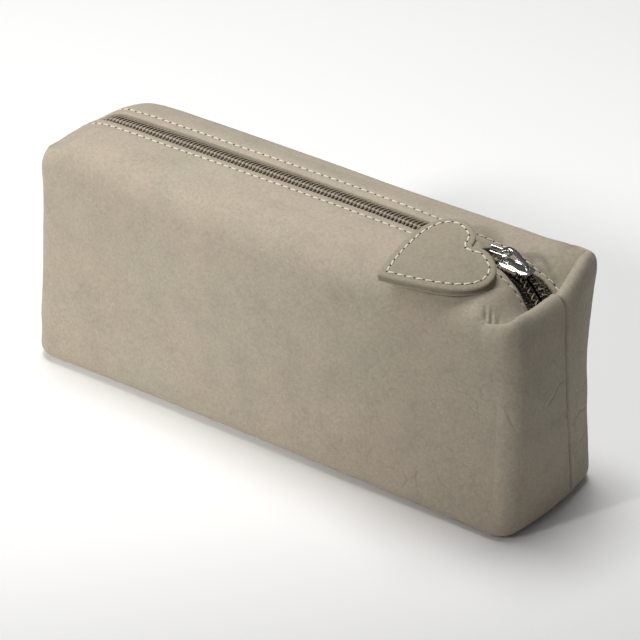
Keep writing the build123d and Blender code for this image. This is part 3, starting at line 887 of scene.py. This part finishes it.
# ------------------------------------------------------------------------------------------
# zip: tape, coil, stitching
# ------------------------------------------------------------------------------------------
coil_line = curve([(-97.5, 80.2), (-96, 81.3), (-93, 83.6), (-90, 85.8), (-88, 86.9), (-85, 87.5), (-81, 87.6), (-76, 87.75),
                   (-60, 87.8), (-30, 87.75), (0, 87.55), (25, 87.1), (45, 86.5), (55, 85.9), (65, 85.1), (72, 84.5), (76, 84.2),
                   (80, 83.9), (84, 83.4), (87, 82.4), (89, 80.2), (91, 77.4), (93, 74.5), (96, 70.5)])
TAPE_Y = np.array([-8.5, -5.0, -3.0, -0.35, 0.35, 3.0, 5.5, 8.5])
right_tape = {80: [81.6, 82.2, 83.1, 83.6, 83.6, 83.4, 82.3, 81.8], 85.5: [77.6, 78.3, 80.4, 82.2, 82.3, 81.9, 80.0, 79.0],
              88.5: [74.6, 75.3, 77.2, 79.4, 79.8, 79.8, 78.9, 77.8], 90.5: [72.8, 73.6, 75.1, 76.9, 77.5, 78.0, 78.0, 77.0],
              93: [70.6, 71.5, 72.6, 74.2, 74.8, 75.4, 75.6, 74.8], 96: [67.6, 68.4, 69.4, 70.6, 71.2, 71.8, 72.0, 71.4]}


def tape_nodes(x):
    x = float(x)
    cl = float(coil_line(x))
    f7, f4 = float(TOP_CURVES[-1][7.3](x)), float(TOP_CURVES[-1][3.9](x))
    b7, b4 = float(TOP_CURVES[1][7.3](x)), float(TOP_CURVES[1][3.9](x))
    plain = np.array([f7 - 2.1, min(f4 - 1.8, cl - 0.7), cl - 0.62, cl - 0.62, cl - 0.62, cl - 0.62, min(b4 - 1.8, cl - 0.7), b7 - 2.1])
    xs = sorted(right_tape)
    cols = [np.interp(x, xs, [right_tape[k][j] for k in xs]) for j in range(8)]
    w = float(smooth((x - 74) / 6))
    return plain * (1 - w) + np.array(cols) * w


tape_x = np.concatenate([np.arange(-97.0, 72.0, 1.0), np.arange(72.0, 95.6, 0.5)])
TAPE_Z = np.array([tape_nodes(x) for x in tape_x])
tape_z_at = [curve(list(zip(tape_x, TAPE_Z[:, j]))) for j in range(8)]


def tape_height(x, y):
    x, y = np.atleast_1d(x).astype(float), np.atleast_1d(y).astype(float)
    zn = np.stack([g(x) for g in tape_z_at], 1)
    yn = np.tile(TAPE_Y, (len(x), 1))
    return rows_at(yn, zn, y[:, None])[:, 0]


def tape_piece(side, part):
    xs = tape_x[tape_x <= SPLIT_X + 1e-6] if part == "left" else tape_x[tape_x >= SPLIT_X - 1e-6]
    yy = np.linspace(0.35, 8.5, 60)
    rows = []
    for y in yy:
        z = tape_height(xs, side * y * np.ones(len(xs)))
        rib = 0.20 * np.abs(np.sin(math.pi * (y - 0.35) / 1.15)) ** 0.7
        hem = -0.25 * np.exp(-((y - 0.35) / 0.25) ** 2)
        rows.append(np.stack([xs, side * y * np.ones(len(xs)), z + rib + hem], 1))
    g = np.array(rows)
    v = g.reshape(-1, 3)
    f = grid_faces(g.shape[0], g.shape[1])
    if face_normals(v, f)[:, 2].sum() < 0:
        f = f[:, ::-1]
    n = shared_normals([(v, f)])[0]
    word = "front" if side < 0 else "back"
    o = shell(word + "_tape_" + part, v, f, n, 0.45, TAPE)
    bend(o)
    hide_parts(word + "_zip_tape" + ("" if part == "left" else "_ends"))


def coil_piece(side, part):
    """A wound nylon coil: each turn a loop of the wire, flattened at its head and at its outer bend."""
    pitch = 1.5
    x0, x1 = (-96.4, SPLIT_X) if part == "left" else (SPLIT_X, 92.5)
    turns = (x1 - x0) / pitch
    per, ring = 20, 8
    t = np.arange(0, turns, 1 / per)
    shift = (x0 / pitch) % 1.0
    a = -2 * math.pi * (t + shift + (0.0 if side < 0 else 0.5))
    x = x0 + pitch * t + 0.10 * np.sin(a)
    out = smooth((x - 77) / 9)
    left = smooth((-88 - x) / 8)
    yc = 1.55 - 0.25 * left
    reach = 2.0 - 0.95 * out - 0.5 * left
    y = yc + reach * np.sign(np.cos(a)) * np.abs(np.cos(a)) ** 0.8 + 0.35 * out
    # past the slider the two halves lie on their own tapes
    z_chain = coil_line(x)
    z_tape = tape_height(x, side * 1.6 * np.ones(len(x))) + 0.22
    z = z_chain * (1 - out) + z_tape * out + (0.52 - 0.12 * out) * np.sin(a)
    p = np.stack([x, side * y, z], 1)
    d = np.gradient(p, axis=0)
    d /= np.linalg.norm(d, axis=1, keepdims=True)
    # frame: u lies along the chain, w square to it
    u = np.tile([1.0, 0.0, 0.0], (len(p), 1))
    u = u - d * (u * d).sum(1, keepdims=True)
    u /= np.linalg.norm(u, axis=1, keepdims=True)
    w = np.cross(d, u)
    head = smooth((0.75 - y) / 0.5)
    bendw = smooth((y - 2.75) / 0.5)
    wu = 0.27 + 0.24 * head + 0.26 * bendw - 0.05 * out
    ww = 0.31 - 0.09 * out
    rings = []
    for k in range(ring):
        b = 2 * math.pi * k / ring
        rings.append(p + (wu * math.cos(b))[:, None] * u + (ww * math.sin(b))[:, None] * w)
    g = np.array(rings).transpose(1, 0, 2)          # along x ring x 3
    v = g.reshape(-1, 3)
    m = len(p)
    i = np.arange(m - 1)[:, None] * ring
    k = np.arange(ring)[None, :]
    k2 = (k + 1) % ring
    f = np.stack([i + k, i + k2, i + ring + k2, i + ring + k], -1).reshape(-1, 4)
    faces = f.tolist() + [list(range(ring))[::-1], [(m - 1) * ring + q for q in range(ring)]]
    word = "front" if side < 0 else "back"
    o = make_object(word + "_coil_" + part, v, faces, [COIL])
    outward(o)
    bend(o)
    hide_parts(word + "_zip_coil" + ("" if part == "left" else "_ends"))


def ellipsoid(rx, ry, rz, seg=10, ring=7):
    v = [(-rx, 0, 0)]
    for i in range(1, ring):
        a = math.pi * i / ring
        for j in range(seg):
            b = 2 * math.pi * j / seg
            v.append((-rx * math.cos(a), ry * math.sin(a) ** 0.6 * math.cos(b), rz * math.sin(a) ** 0.6 * math.sin(b)))
    v.append((rx, 0, 0))
    f = []
    for j in range(seg):
        f.append([0, 1 + (j + 1) % seg, 1 + j])
    for i in range(ring - 2):
        for j in range(seg):
            a = 1 + i * seg
            f.append([a + j, a + (j + 1) % seg, a + seg + (j + 1) % seg, a + seg + j])
    last = 1 + (ring - 2) * seg
    for j in range(seg):
        f.append([last + j, last + (j + 1) % seg, len(v) - 1])
    return np.array(v), f


def stitch_set(frames, length=2.25, width=0.56, height=0.42, gap=3.15):
    """Stitches, with a dark dot of painted shade for each needle hole, from a list of (centre, along, up) at even
    steps.
    """
    vs, fs, mi, base = [], [], [], 0
    sv, sf = ellipsoid(length / 2, width / 2, height / 2)
    hv, hf = ellipsoid(0.34, 0.27, 0.13, 8, 5)
    for k, (c, along, up) in enumerate(frames):
        along = along / np.linalg.norm(along)
        up = up - along * (up @ along)
        up = up / np.linalg.norm(up)
        across = np.cross(up, along)
        turn = 0.10 + 0.04 * math.sin(k * 2.7)
        a2 = along * math.cos(turn) + across * math.sin(turn)
        c2 = np.cross(up, a2)
        p = sv * np.array([1 + 0.05 * math.sin(k * 1.9), 1, 1])
        arch = -0.16 * (p[:, 0] / (length / 2)) ** 2
        world = c + p[:, :1] * a2 + p[:, 1:2] * c2 + (p[:, 2:3] + arch[:, None] + 0.14) * up
        vs.append(world)
        fs += [[i + base for i in q] for q in sf]
        mi += [0] * len(sf)
        base += len(sv)
        # needle hole: a small raised dark dot, painted shade in place of a real recess
        h = c + along * gap / 2 + up * 0.03
        world = h + hv[:, :1] * along + hv[:, 1:2] * across + hv[:, 2:3] * up
        vs.append(world)
        fs += [[i + base for i in q] for q in hf]
        mi += [1] * len(hf)
        base += len(hv)
    return np.vstack(vs), fs, mi


def leaf_frame(side, x, y):
    def z_at(xx, yy):
        xx, yy = np.array([xx]), np.array([[yy]])
        z = top_height(side, xx, yy)
        return float((z + top_dips(side, xx[:, None], yy, z))[0, 0])
    z = z_at(x, y)
    dx = np.array([0.6, 0, z_at(x + 0.3, y) - z_at(x - 0.3, y)])
    dy = np.array([0, side * 0.6, z_at(x, y + 0.3) - z_at(x, y - 0.3)])
    up = np.cross(dx, dy)
    if up[2] < 0:
        up = -up
    return np.array([x, side * y, z]), dx, up / np.linalg.norm(up)


def topstitch(side):
    pitch = 3.12
    frames, x = [], -93.5
    stop = 92.5 if side < 0 else 95.0
    while x < stop:
        y = 7.3 + 0.05 * math.sin(x * 0.21)
        c, d, u = leaf_frame(side, x, y)
        frames.append((c, d, u))
        x += pitch / math.sqrt(1 + (d[2] / 0.6) ** 2)
    word = "front" if side < 0 else "back"
    for part, pick in (("left", [q for q in frames if q[0][0] <= SPLIT_X]), ("right", [q for q in frames if q[0][0] > SPLIT_X])):
        v, f, mi = stitch_set(pick)
        # thread colour for the stitches, painted shade for the needle holes
        o = make_object(word + "_stitches_" + part, v, f, [THREAD, NEEDLE_HOLE_SHADE], material_index=mi)
        bend(o)
        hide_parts(word + "_topstitch" + ("" if part == "left" else "_ends"))


for side in (-1, 1):
    topstitch(side)
    for part in ("left", "right"):
        tape_piece(side, part)
        coil_piece(side, part)


# ------------------------------------------------------------------------------------------
# heart pull
# ------------------------------------------------------------------------------------------
NOTCH = np.array([69.04, -6.85, 90.8])
H_AXIS = np.array([-.5353, -.8319, -.1461])
H_NORM = np.array([.0968, -.2323, .9678])
H_AXIS /= np.linalg.norm(H_AXIS)
H_NORM = H_NORM - H_AXIS * (H_NORM @ H_AXIS)
H_NORM /= np.linalg.norm(H_NORM)
H_SIDE = np.cross(H_NORM, H_AXIS)
HALF_OUTLINE = [(0, 0), (3.2, -2.9), (8.0, -3.8), (12.8, -2.7), (16.2, 1.0), (17.0, 5.4), (15.2, 12.6), (10.7, 20.2),
                (5.6, 26.9), (0, 32.9)]


def spline(points, count):
    """Natural cubic spline through points, by chord length."""
    p = np.array(points, float)
    t = np.concatenate([[0], np.cumsum(np.linalg.norm(np.diff(p, axis=0), axis=1))])
    h = np.diff(t)
    n = len(p)
    a = np.zeros((n, n))
    rhs = np.zeros((n, p.shape[1]))
    a[0, 0] = a[-1, -1] = 1
    for i in range(1, n - 1):
        a[i, i - 1], a[i, i], a[i, i + 1] = h[i - 1], 2 * (h[i - 1] + h[i]), h[i]
        rhs[i] = 6 * ((p[i + 1] - p[i]) / h[i] - (p[i] - p[i - 1]) / h[i - 1])
    m = np.linalg.solve(a, rhs)
    q = np.linspace(0, t[-1], count)
    i = np.clip(np.searchsorted(t, q, side="right") - 1, 0, n - 2)
    u, hh = (q - t[i])[:, None], h[i][:, None]
    return (p[i] + u * ((p[i + 1] - p[i]) / hh - hh * (2 * m[i] + m[i + 1]) / 6)
            + u**2 * m[i] / 2 + u**3 * (m[i + 1] - m[i]) / (6 * hh))


half_line = spline(HALF_OUTLINE, 90)
ring_line = np.vstack([half_line, (half_line * [-1, 1])[::-1][1:-1]])     # (side, axis), closed


def resample(line, count):
    closed = np.vstack([line, line[:1]])
    s = np.concatenate([[0], np.cumsum(np.linalg.norm(np.diff(closed, axis=0), axis=1))])
    q = np.linspace(0, s[-1], count, endpoint=False)
    return np.stack([np.interp(q, s, closed[:, k]) for k in range(2)], 1)


def tidy(line, first, d):
    """Keeps an inset ring of the heart on its own side of the middle and short of the tip."""
    out = line.copy()
    right = first[:, 0] >= 0
    out[:, 0] = np.where(right, np.maximum(out[:, 0], 0), np.minimum(out[:, 0], 0))
    out[:, 1] = np.minimum(out[:, 1], TIP - d / 0.66)
    return out


def inset_line(line, d):
    """The closed line moved inwards by d, along smoothed normals."""
    nxt, prv = np.roll(line, -1, 0), np.roll(line, 1, 0)
    tan = nxt - prv
    tan /= np.linalg.norm(tan, axis=1, keepdims=True)
    nrm = np.stack([-tan[:, 1], tan[:, 0]], 1)
    c = line.mean(0)
    if ((line - c) * nrm).sum() < 0:
        nrm = -nrm
    return line - nrm * d


TIP = float(ring_line[:, 1].max())
HEART_RING = resample(ring_line, 300)


NEAR = 1.0 if H_SIDE[1] < 0 else -1.0          # which side of the heart hangs over the front


def sag(side, axis):
    """The heart's own slight curl."""
    return -0.0026 * side**2 - 0.0042 * np.maximum(NEAR * side, 0) ** 2 + 0.0008 * (axis - 14) ** 2


def heart_world(side, axis, z):
    side, axis, z = np.asarray(side, float), np.asarray(axis, float), np.asarray(z, float)
    z = z + sag(side, axis)
    return NOTCH + side[..., None] * H_SIDE + axis[..., None] * H_AXIS + z[..., None] * H_NORM


def slab_rings(line, profile, centre):
    """Rings of a rounded slab: profile is a list of (inset, z) from the top's middle round to the bottom's middle.
    An inset above 6 is drawn in towards centre instead."""
    rings = []
    deep = tidy(inset_line(line, 2.8), line, 2.8)
    for d, z in profile:
        if d <= 2.8:
            r = tidy(inset_line(line, d), line, d)
        else:
            k = max(0.0, (20.0 - d) / 17.2)
            r = centre + (deep - centre) * k
        rings.append((r, z))
    return rings


def slab(name, line, profile, centre, world, material):
    rings = slab_rings(line, profile, centre)
    n = len(line)
    v, faces = [], []
    for r, z in rings:
        v.append(world(r[:, 0], r[:, 1], z * np.ones(n)))
    v = np.vstack(v)
    for a in range(len(rings) - 1):
        for i in range(n):
            j = (i + 1) % n
            faces.append([a * n + i, a * n + j, (a + 1) * n + j, (a + 1) * n + i])
    first, last = len(v), len(v) + 1
    v = np.vstack([v, world(*[np.array([c]) for c in centre], np.array([rings[0][1]])),
                   world(*[np.array([c]) for c in centre], np.array([rings[-1][1]]))])
    for i in range(n):
        j = (i + 1) % n
        faces.append([first, j, i])
        b = (len(rings) - 1) * n
        faces.append([last, b + i, b + j])
    o = make_object(name, v, faces, [material])
    outward(o)
    return o


centre = np.array([0.0, 12.0])
top_profile = [(18.5, 0.20), (16, 0.20), (13, 0.18), (10, 0.14), (7.5, 0.08), (5.0, 0.03), (4.0, 0.03), (3.3, 0.01), (2.8, -0.05),
               (2.4, -0.12), (2.0, -0.08), (1.6, -0.01), (1.1, 0.0), (0.7, -0.05), (0.35, -0.17), (0.12, -0.36), (0.0, -0.60),
               (0.04, -0.82), (0.20, -1.02), (0.45, -1.16), (0.9, -1.2), (5.0, -1.2), (12, -1.2), (18.5, -1.2)]
core_profile = [(18.5, -1.2), (5.0, -1.2), (0.6, -1.2), (0.36, -1.26), (0.26, -1.4), (0.26, -1.8), (0.36, -1.95), (0.6, -2.0), (5.0, -2.0), (18.5, -2.0)]
under_profile = [(18.5, -2.0), (5.0, -2.0), (0.9, -2.0), (0.45, -2.04), (0.20, -2.17), (0.04, -2.38), (0.0, -2.6), (0.12, -2.84),
                 (0.35, -3.03), (0.7, -3.15), (1.1, -3.2), (5.0, -3.2), (12, -3.2), (18.5, -3.2)]
for nm, prof, mat, nd, slot in (("heart_top", top_profile, HEART_LEATHER, "heart_top_leather", "leather"),
                                ("heart_middle", core_profile, EDGE_LEATHER, "heart_core", "core_board"),
                                ("heart_back", under_profile, HEART_LEATHER, "heart_under_leather", "leather")):
    o = slab(nm, HEART_RING, prof, centre, heart_world, mat)
    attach(o, "heart_pull")
    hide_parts(nd)

# stitching, just inside the edge
fine = resample(ring_line, 500)
row = tidy(inset_line(fine, 2.35), fine, 2.35)
step = np.linalg.norm(row - np.roll(row, 1, 0), axis=1)
row = resample(row[step > 1e-5], 400)
s_all = np.concatenate([[0], np.cumsum(np.linalg.norm(np.diff(np.vstack([row, row[:1]]), axis=0), axis=1))])
count = int(round(s_all[-1] / 3.0))
frames = []
closed = np.vstack([row, row[:1]])
for k in range(count):
    q = (k + 0.5) * s_all[-1] / count
    p = np.array([np.interp(q, s_all, closed[:, j]) for j in range(2)])
    p2 = np.array([np.interp(q + 0.6, s_all, closed[:, j], period=s_all[-1]) for j in range(2)])
    p1 = np.array([np.interp(q - 0.6, s_all, closed[:, j], period=s_all[-1]) for j in range(2)])
    c = heart_world(p[0], p[1], -0.10)
    d = heart_world(p2[0], p2[1], 0) - heart_world(p1[0], p1[1], 0)
    frames.append((c, d, H_NORM.copy()))
v, f, mi = stitch_set(frames, length=2.3, width=0.66, height=0.5, gap=s_all[-1] / count)
# thread colour for the stitches, painted shade for the needle holes
o = make_object("heart_stitches", v, f, [THREAD, NEEDLE_HOLE_SHADE], material_index=mi)
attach(o, "heart_pull")
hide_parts("heart_stitching")


# ------------------------------------------------------------------------------------------
# leather loop round the link
# ------------------------------------------------------------------------------------------
def ribbon(name, path, widths, thickness, to_world, material, x_mid):
    """A strap: path is (y, z) in the heart's own frame, widths along it."""
    p = spline(path, 90)
    w = np.interp(np.linspace(0, 1, 90), np.linspace(0, 1, len(widths)), widths)
    d = np.gradient(p, axis=0)
    d /= np.linalg.norm(d, axis=1, keepdims=True)
    nrm = np.stack([-d[:, 1], d[:, 0]], 1)
    sec = []
    for k in range(20):
        a = 2 * math.pi * k / 20
        ca, sa = math.cos(a), math.sin(a)
        sec.append((np.sign(ca) * abs(ca) ** 0.35, np.sign(sa) * abs(sa) ** 0.6))
    v = []
    for i in range(90):
        for cx, cz in sec:
            yy, zz = p[i] + nrm[i] * cz * thickness / 2
            v.append(to_world(x_mid + cx * w[i] / 2, yy, zz))
    n = 20
    faces = []
    for i in range(89):
        for k in range(n):
            k2 = (k + 1) % n
            faces.append([i * n + k, i * n + k2, (i + 1) * n + k2, (i + 1) * n + k])
    faces.append(list(range(n))[::-1])
    faces.append([89 * n + k for k in range(n)])
    return make_object(name, v, faces, [material])


def heart_frame(x, y, z):
    return NOTCH + x * H_SIDE - y * H_AXIS + z * H_NORM


# the wire's line runs through (5.18, -3.93) of the heart's frame, across it
WY, WZ = 5.176, -3.927
loop_path = [(-4.5, -1.3), (-1.5, -1.25), (1.2, -1.2), (3.3, -1.55), (WY - 0.2, WZ + 1.42), (WY + 1.05, WZ + 0.8), (WY + 1.35, WZ - 0.35),
             (WY + 0.45, WZ - 1.3), (WY - 0.9, WZ - 1.2), (2.2, -3.7), (0.2, -2.6), (-1.8, -2.05), (-4.5, -1.9)]
loop = ribbon("heart_strap", loop_path, [5.0, 5.0, 4.9, 4.6, 3.6, 2.3, 2.1, 2.1, 2.6, 4.4, 4.8, 5.0, 5.0], 0.95, heart_frame, HEART_LEATHER, -0.38)
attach(loop, "heart_pull")
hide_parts("pull_loop")


# ------------------------------------------------------------------------------------------
# slider
# ------------------------------------------------------------------------------------------
SL_X, SL_Z, SL_PITCH = 81.9, 85.35, math.radians(5.0)      # top plate's centre, nose down


def slider_world(x, y, z):
    x, y, z = np.asarray(x, float), np.asarray(y, float), np.asarray(z, float)
    c, s = math.cos(SL_PITCH), math.sin(SL_PITCH)
    return np.stack([SL_X + x * c + z * s, y + 0 * x, SL_Z - x * s + z * c], -1)


def plate_line(front, rear, length, count=120):
    pts = [(-length / 2, 0), (-length / 2, rear * 0.62), (-length / 2 + 0.8, rear * 0.95), (-length / 2 + 2.5, rear), (-0.3, rear * 0.93),
           (length / 2 - 4.2, front * 0.97), (length / 2 - 2.2, front), (length / 2 - 0.7, front * 0.8), (length / 2 + 0.1, front * 0.42), (length / 2 - 0.25, 0)]
    h = spline(pts, 70)
    return resample(np.vstack([h, (h * [1, -1])[::-1][1:-1]]), count)


def plate_world(x, y, z):
    return slider_world(x, y, z)


def domed(x, y, z):
    z = np.asarray(z, float)
    return slider_world(x, y, z - np.where(z > -0.8, 0.024 * np.abs(y) ** 2.2, 0.0))


mid0 = np.array([0.0, 0.0])


def plate_rings(line, profile, world, name):
    n = len(line)
    v, faces = [], []
    for k, z in profile:
        r = inset_line(line, k) if k <= 1.2 else line * max(0.0, 1 - (k - 1.2) / 3.0) * (1 - 1.2 / 5.5)
        v.append(world(r[:, 0], r[:, 1], z * np.ones(n)))
    m = len(profile)
    v = np.vstack(v)
    for a in range(m - 1):
        for i in range(n):
            j = (i + 1) % n
            faces.append([a * n + i, a * n + j, (a + 1) * n + j, (a + 1) * n + i])
    v = np.vstack([v, world(np.array([0.]), np.array([0.]), np.array([profile[0][1]])),
                   world(np.array([0.]), np.array([0.]), np.array([profile[-1][1]]))])
    t, b = len(v) - 2, len(v) - 1
    for i in range(n):
        j = (i + 1) % n
        faces.append([t, j, i])
        faces.append([b, (m - 1) * n + i, (m - 1) * n + j])
    return v, faces


def bar_along(points, half_w, half_t, world, seg=16, power=0.55):
    """A bar swept along (x, z) points in the slider's middle plane."""
    p = spline(points, 80)
    d = np.gradient(p, axis=0)
    d /= np.linalg.norm(d, axis=1, keepdims=True)
    nrm = np.stack([-d[:, 1], d[:, 0]], 1)
    hw = half_w if callable(half_w) else (lambda t: half_w)
    v = []
    for i in range(80):
        for k in range(seg):
            a = 2 * math.pi * k / seg
            ca, sa = math.cos(a), math.sin(a)
            yy = np.sign(ca) * abs(ca) ** power * hw(i / 79)
            tt = np.sign(sa) * abs(sa) ** power * half_t
            q = p[i] + nrm[i] * tt
            v.append(world(q[0], yy, q[1]))
    faces = []
    for i in range(79):
        for k in range(seg):
            k2 = (k + 1) % seg
            faces.append([i * seg + k, i * seg + k2, (i + 1) * seg + k2, (i + 1) * seg + k])
    faces.append(list(range(seg))[::-1])
    faces.append([79 * seg + k for k in range(seg)])
    return np.array(v), faces


def low_world(x, y, z):
    """The lower plate is the shorter one, and turns down where the two halves of the zip part."""
    x = np.asarray(x, float) - 1.2
    return plate_world(x, y, np.asarray(z, float) - 0.11 * np.maximum(x + 1.8, 0) ** 2)


parts = []
prof_top = [(4.2, 0.0), (3.0, 0.0), (1.8, 0.0), (1.2, 0.0), (0.8, -0.02), (0.45, -0.08), (0.16, -0.19), (0.02, -0.34), (0.0, -0.44), (0.1, -0.68),
            (0.32, -0.96), (0.62, -1.12), (1.2, -1.15), (4.2, -1.15)]
parts.append(plate_rings(plate_line(3.45, 3.0, 12.2), prof_top, domed, "top"))
prof_low = [(4.2, -4.0), (1.2, -4.0), (0.5, -4.02), (0.12, -4.2), (0.0, -4.5), (0.12, -4.85), (0.5, -5.05), (1.2, -5.1), (4.2, -5.1)]
parts.append(plate_rings(plate_line(3.8, 3.3, 9.2), prof_low, low_world, "low"))


def box_part(x0, x1, y0, y1, z0, z1, r=0.25):
    """A rounded bar: an octagon section drawn along x."""
    sec = [(y0 + r, z0), (y1 - r, z0), (y1, z0 + r), (y1, z1 - r), (y1 - r, z1), (y0 + r, z1), (y0, z1 - r), (y0, z0 + r)]
    xs = [x0, x0 + 0.15, x0 + 0.6, x1 - 0.6, x1 - 0.15, x1]
    sc = [0.55, 0.85, 1, 1, 0.85, 0.55]
    cy, cz = (y0 + y1) / 2, (z0 + z1) / 2
    v = [slider_world(x, cy + (y - cy) * k, cz + (z - cz) * k) for x, k in zip(xs, sc) for y, z in sec]
    f = [[i * 8 + k, i * 8 + (k + 1) % 8, (i + 1) * 8 + (k + 1) % 8, (i + 1) * 8 + k] for i in range(5) for k in range(8)]
    f += [list(range(8))[::-1], [40 + k for k in range(8)]]
    return np.array(v), f


for s in (-1, 1):
    y0, y1 = sorted((s * 2.75, s * 3.35))
    parts.append(box_part(-5.6, 1.8, y0, y1, -2.3, -0.6))
    parts.append(box_part(-5.4, -1.2, y0, y1, -4.7, -3.1))
parts.append(box_part(0.6, 4.2, -0.55, 0.55, -5.2, -0.6))
crown = [(-5.75, -0.9), (-5.95, 1.2), (-5.5, 3.1), (-4.1, 4.15), (-2.0, 4.2), (0.2, 3.2), (2.4, 1.75), (3.9, 0.55), (4.6, -0.9)]
parts.append(bar_along([(x, z) for x, z in crown], lambda t: 0.82 + 0.12 * math.sin(math.pi * t), 0.5, slider_world))
vs, fs, base = [], [], 0
for v, f in parts:
    vs.append(v)
    fs += [[i + base for i in q] for q in f]
    base += len(v)
slider = make_object("slider_casting", np.vstack(vs), fs, [CHROME])
outward(slider)
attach(slider, "slider")
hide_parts("slider_body")

# the link keeps its shape from the model
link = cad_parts["pull_link"]
link.data.materials.clear()
link.data.materials.append(CHROME)
for p in link.data.polygons:
    p.use_smooth = True

# ------------------------------------------------------------------------------------------
# camera, floor, light
# ------------------------------------------------------------------------------------------
az, el, roll = math.radians(36.011), math.radians(28.816), math.radians(1.079)
back_v = Vector((math.sin(az) * math.cos(el), -math.cos(az) * math.cos(el), math.sin(el)))
right_v = Vector((math.cos(az), math.sin(az), 0))
up_v = back_v.cross(right_v)
rr = right_v * math.cos(roll) + up_v * math.sin(roll)
uu = up_v * math.cos(roll) - right_v * math.sin(roll)
cam_data = bpy.data.cameras.new("camera")
cam = bpy.data.objects.new("camera", cam_data)
bpy.context.scene.collection.objects.link(cam)
loc = back_v * 0.921799 + Vector((0, 0, 0.042))
m = Matrix((rr, uu, back_v)).transposed().to_4x4()
m.translation = loc
cam.matrix_world = m
cam_data.sensor_width = 36
cam_data.lens = 151.875
cam_data.shift_x = 0.01912
cam_data.shift_y = -0.02006
cam_data.clip_start, cam_data.clip_end = 0.05, 20
bpy.context.scene.camera = cam

floor_mat, nt, b = tree("studio_floor")
co = nt.nodes.new("ShaderNodeTexCoord").outputs["Object"]
nt.links.new(ramp(nt, noise_of(nt, co, 3, 3, 0.5), [(0.3, (0.92, 0.92, 0.92)), (0.7, (0.94, 0.94, 0.935))]), b.inputs["Base Color"])
b.inputs["Roughness"].default_value = 0.9
fv = [(-3000, -3000, 0), (3000, -3000, 0), (3000, 3000, 0), (-3000, 3000, 0)]
floor = make_object("studio_floor", fv, [(0, 1, 2, 3)], [floor_mat], smooth_faces=False)

world = bpy.data.worlds.new("studio")
world.use_nodes = True
bpy.context.scene.world = world
wt = world.node_tree
bg = wt.nodes["Background"]
wco = wt.nodes.new("ShaderNodeTexCoord").outputs["Generated"]
wsep = wt.nodes.new("ShaderNodeSeparateXYZ")
wt.links.new(wco, wsep.inputs[0])
wt.links.new(ramp(wt, wsep.outputs["Z"], [(0.0, (0.04, 0.04, 0.04)), (0.35, (0.05, 0.05, 0.05)), (0.75, (0.12, 0.12, 0.12)), (1.0, (0.25, 0.25, 0.25))]),
             bg.inputs[0])
bg.inputs[1].default_value = 1.0


def area_light(name, loc, target, size, power, color=(1, 1, 1)):
    d = bpy.data.lights.new(name, "AREA")
    d.shape = "RECTANGLE"
    d.size, d.size_y = size
    d.energy = power
    d.color = color
    o = bpy.data.objects.new(name, d)
    bpy.context.scene.collection.objects.link(o)
    o.location = loc
    direction = Vector(target) - Vector(loc)
    o.rotation_euler = direction.to_track_quat("-Z", "Y").to_euler()
    return o


area_light("overhead", (-0.22, 0.10, 1.30), (-0.02, 0, 0.05), (0.62, 0.62), 13, (1.0, 1.0, 1.0))
spot = bpy.data.lights.new("key", "SPOT")
spot.energy = 33
spot.color = (1.0, 0.985, 0.96)
spot.shadow_soft_size = 0.09
spot.spot_size = math.radians(44.6)
spot.spot_blend = 0.2
key_light = bpy.data.objects.new("key", spot)
bpy.context.scene.collection.objects.link(key_light)
key_light.location = (-0.30, -0.90, 0.56)
key_light.rotation_euler = (Vector((-0.28, -0.028, 0.215)) - key_light.location).to_track_quat("-Z", "Y").to_euler()
bpy.context.scene.view_settings.view_transform = "Standard"
bpy.context.scene.view_settings.look = "None"
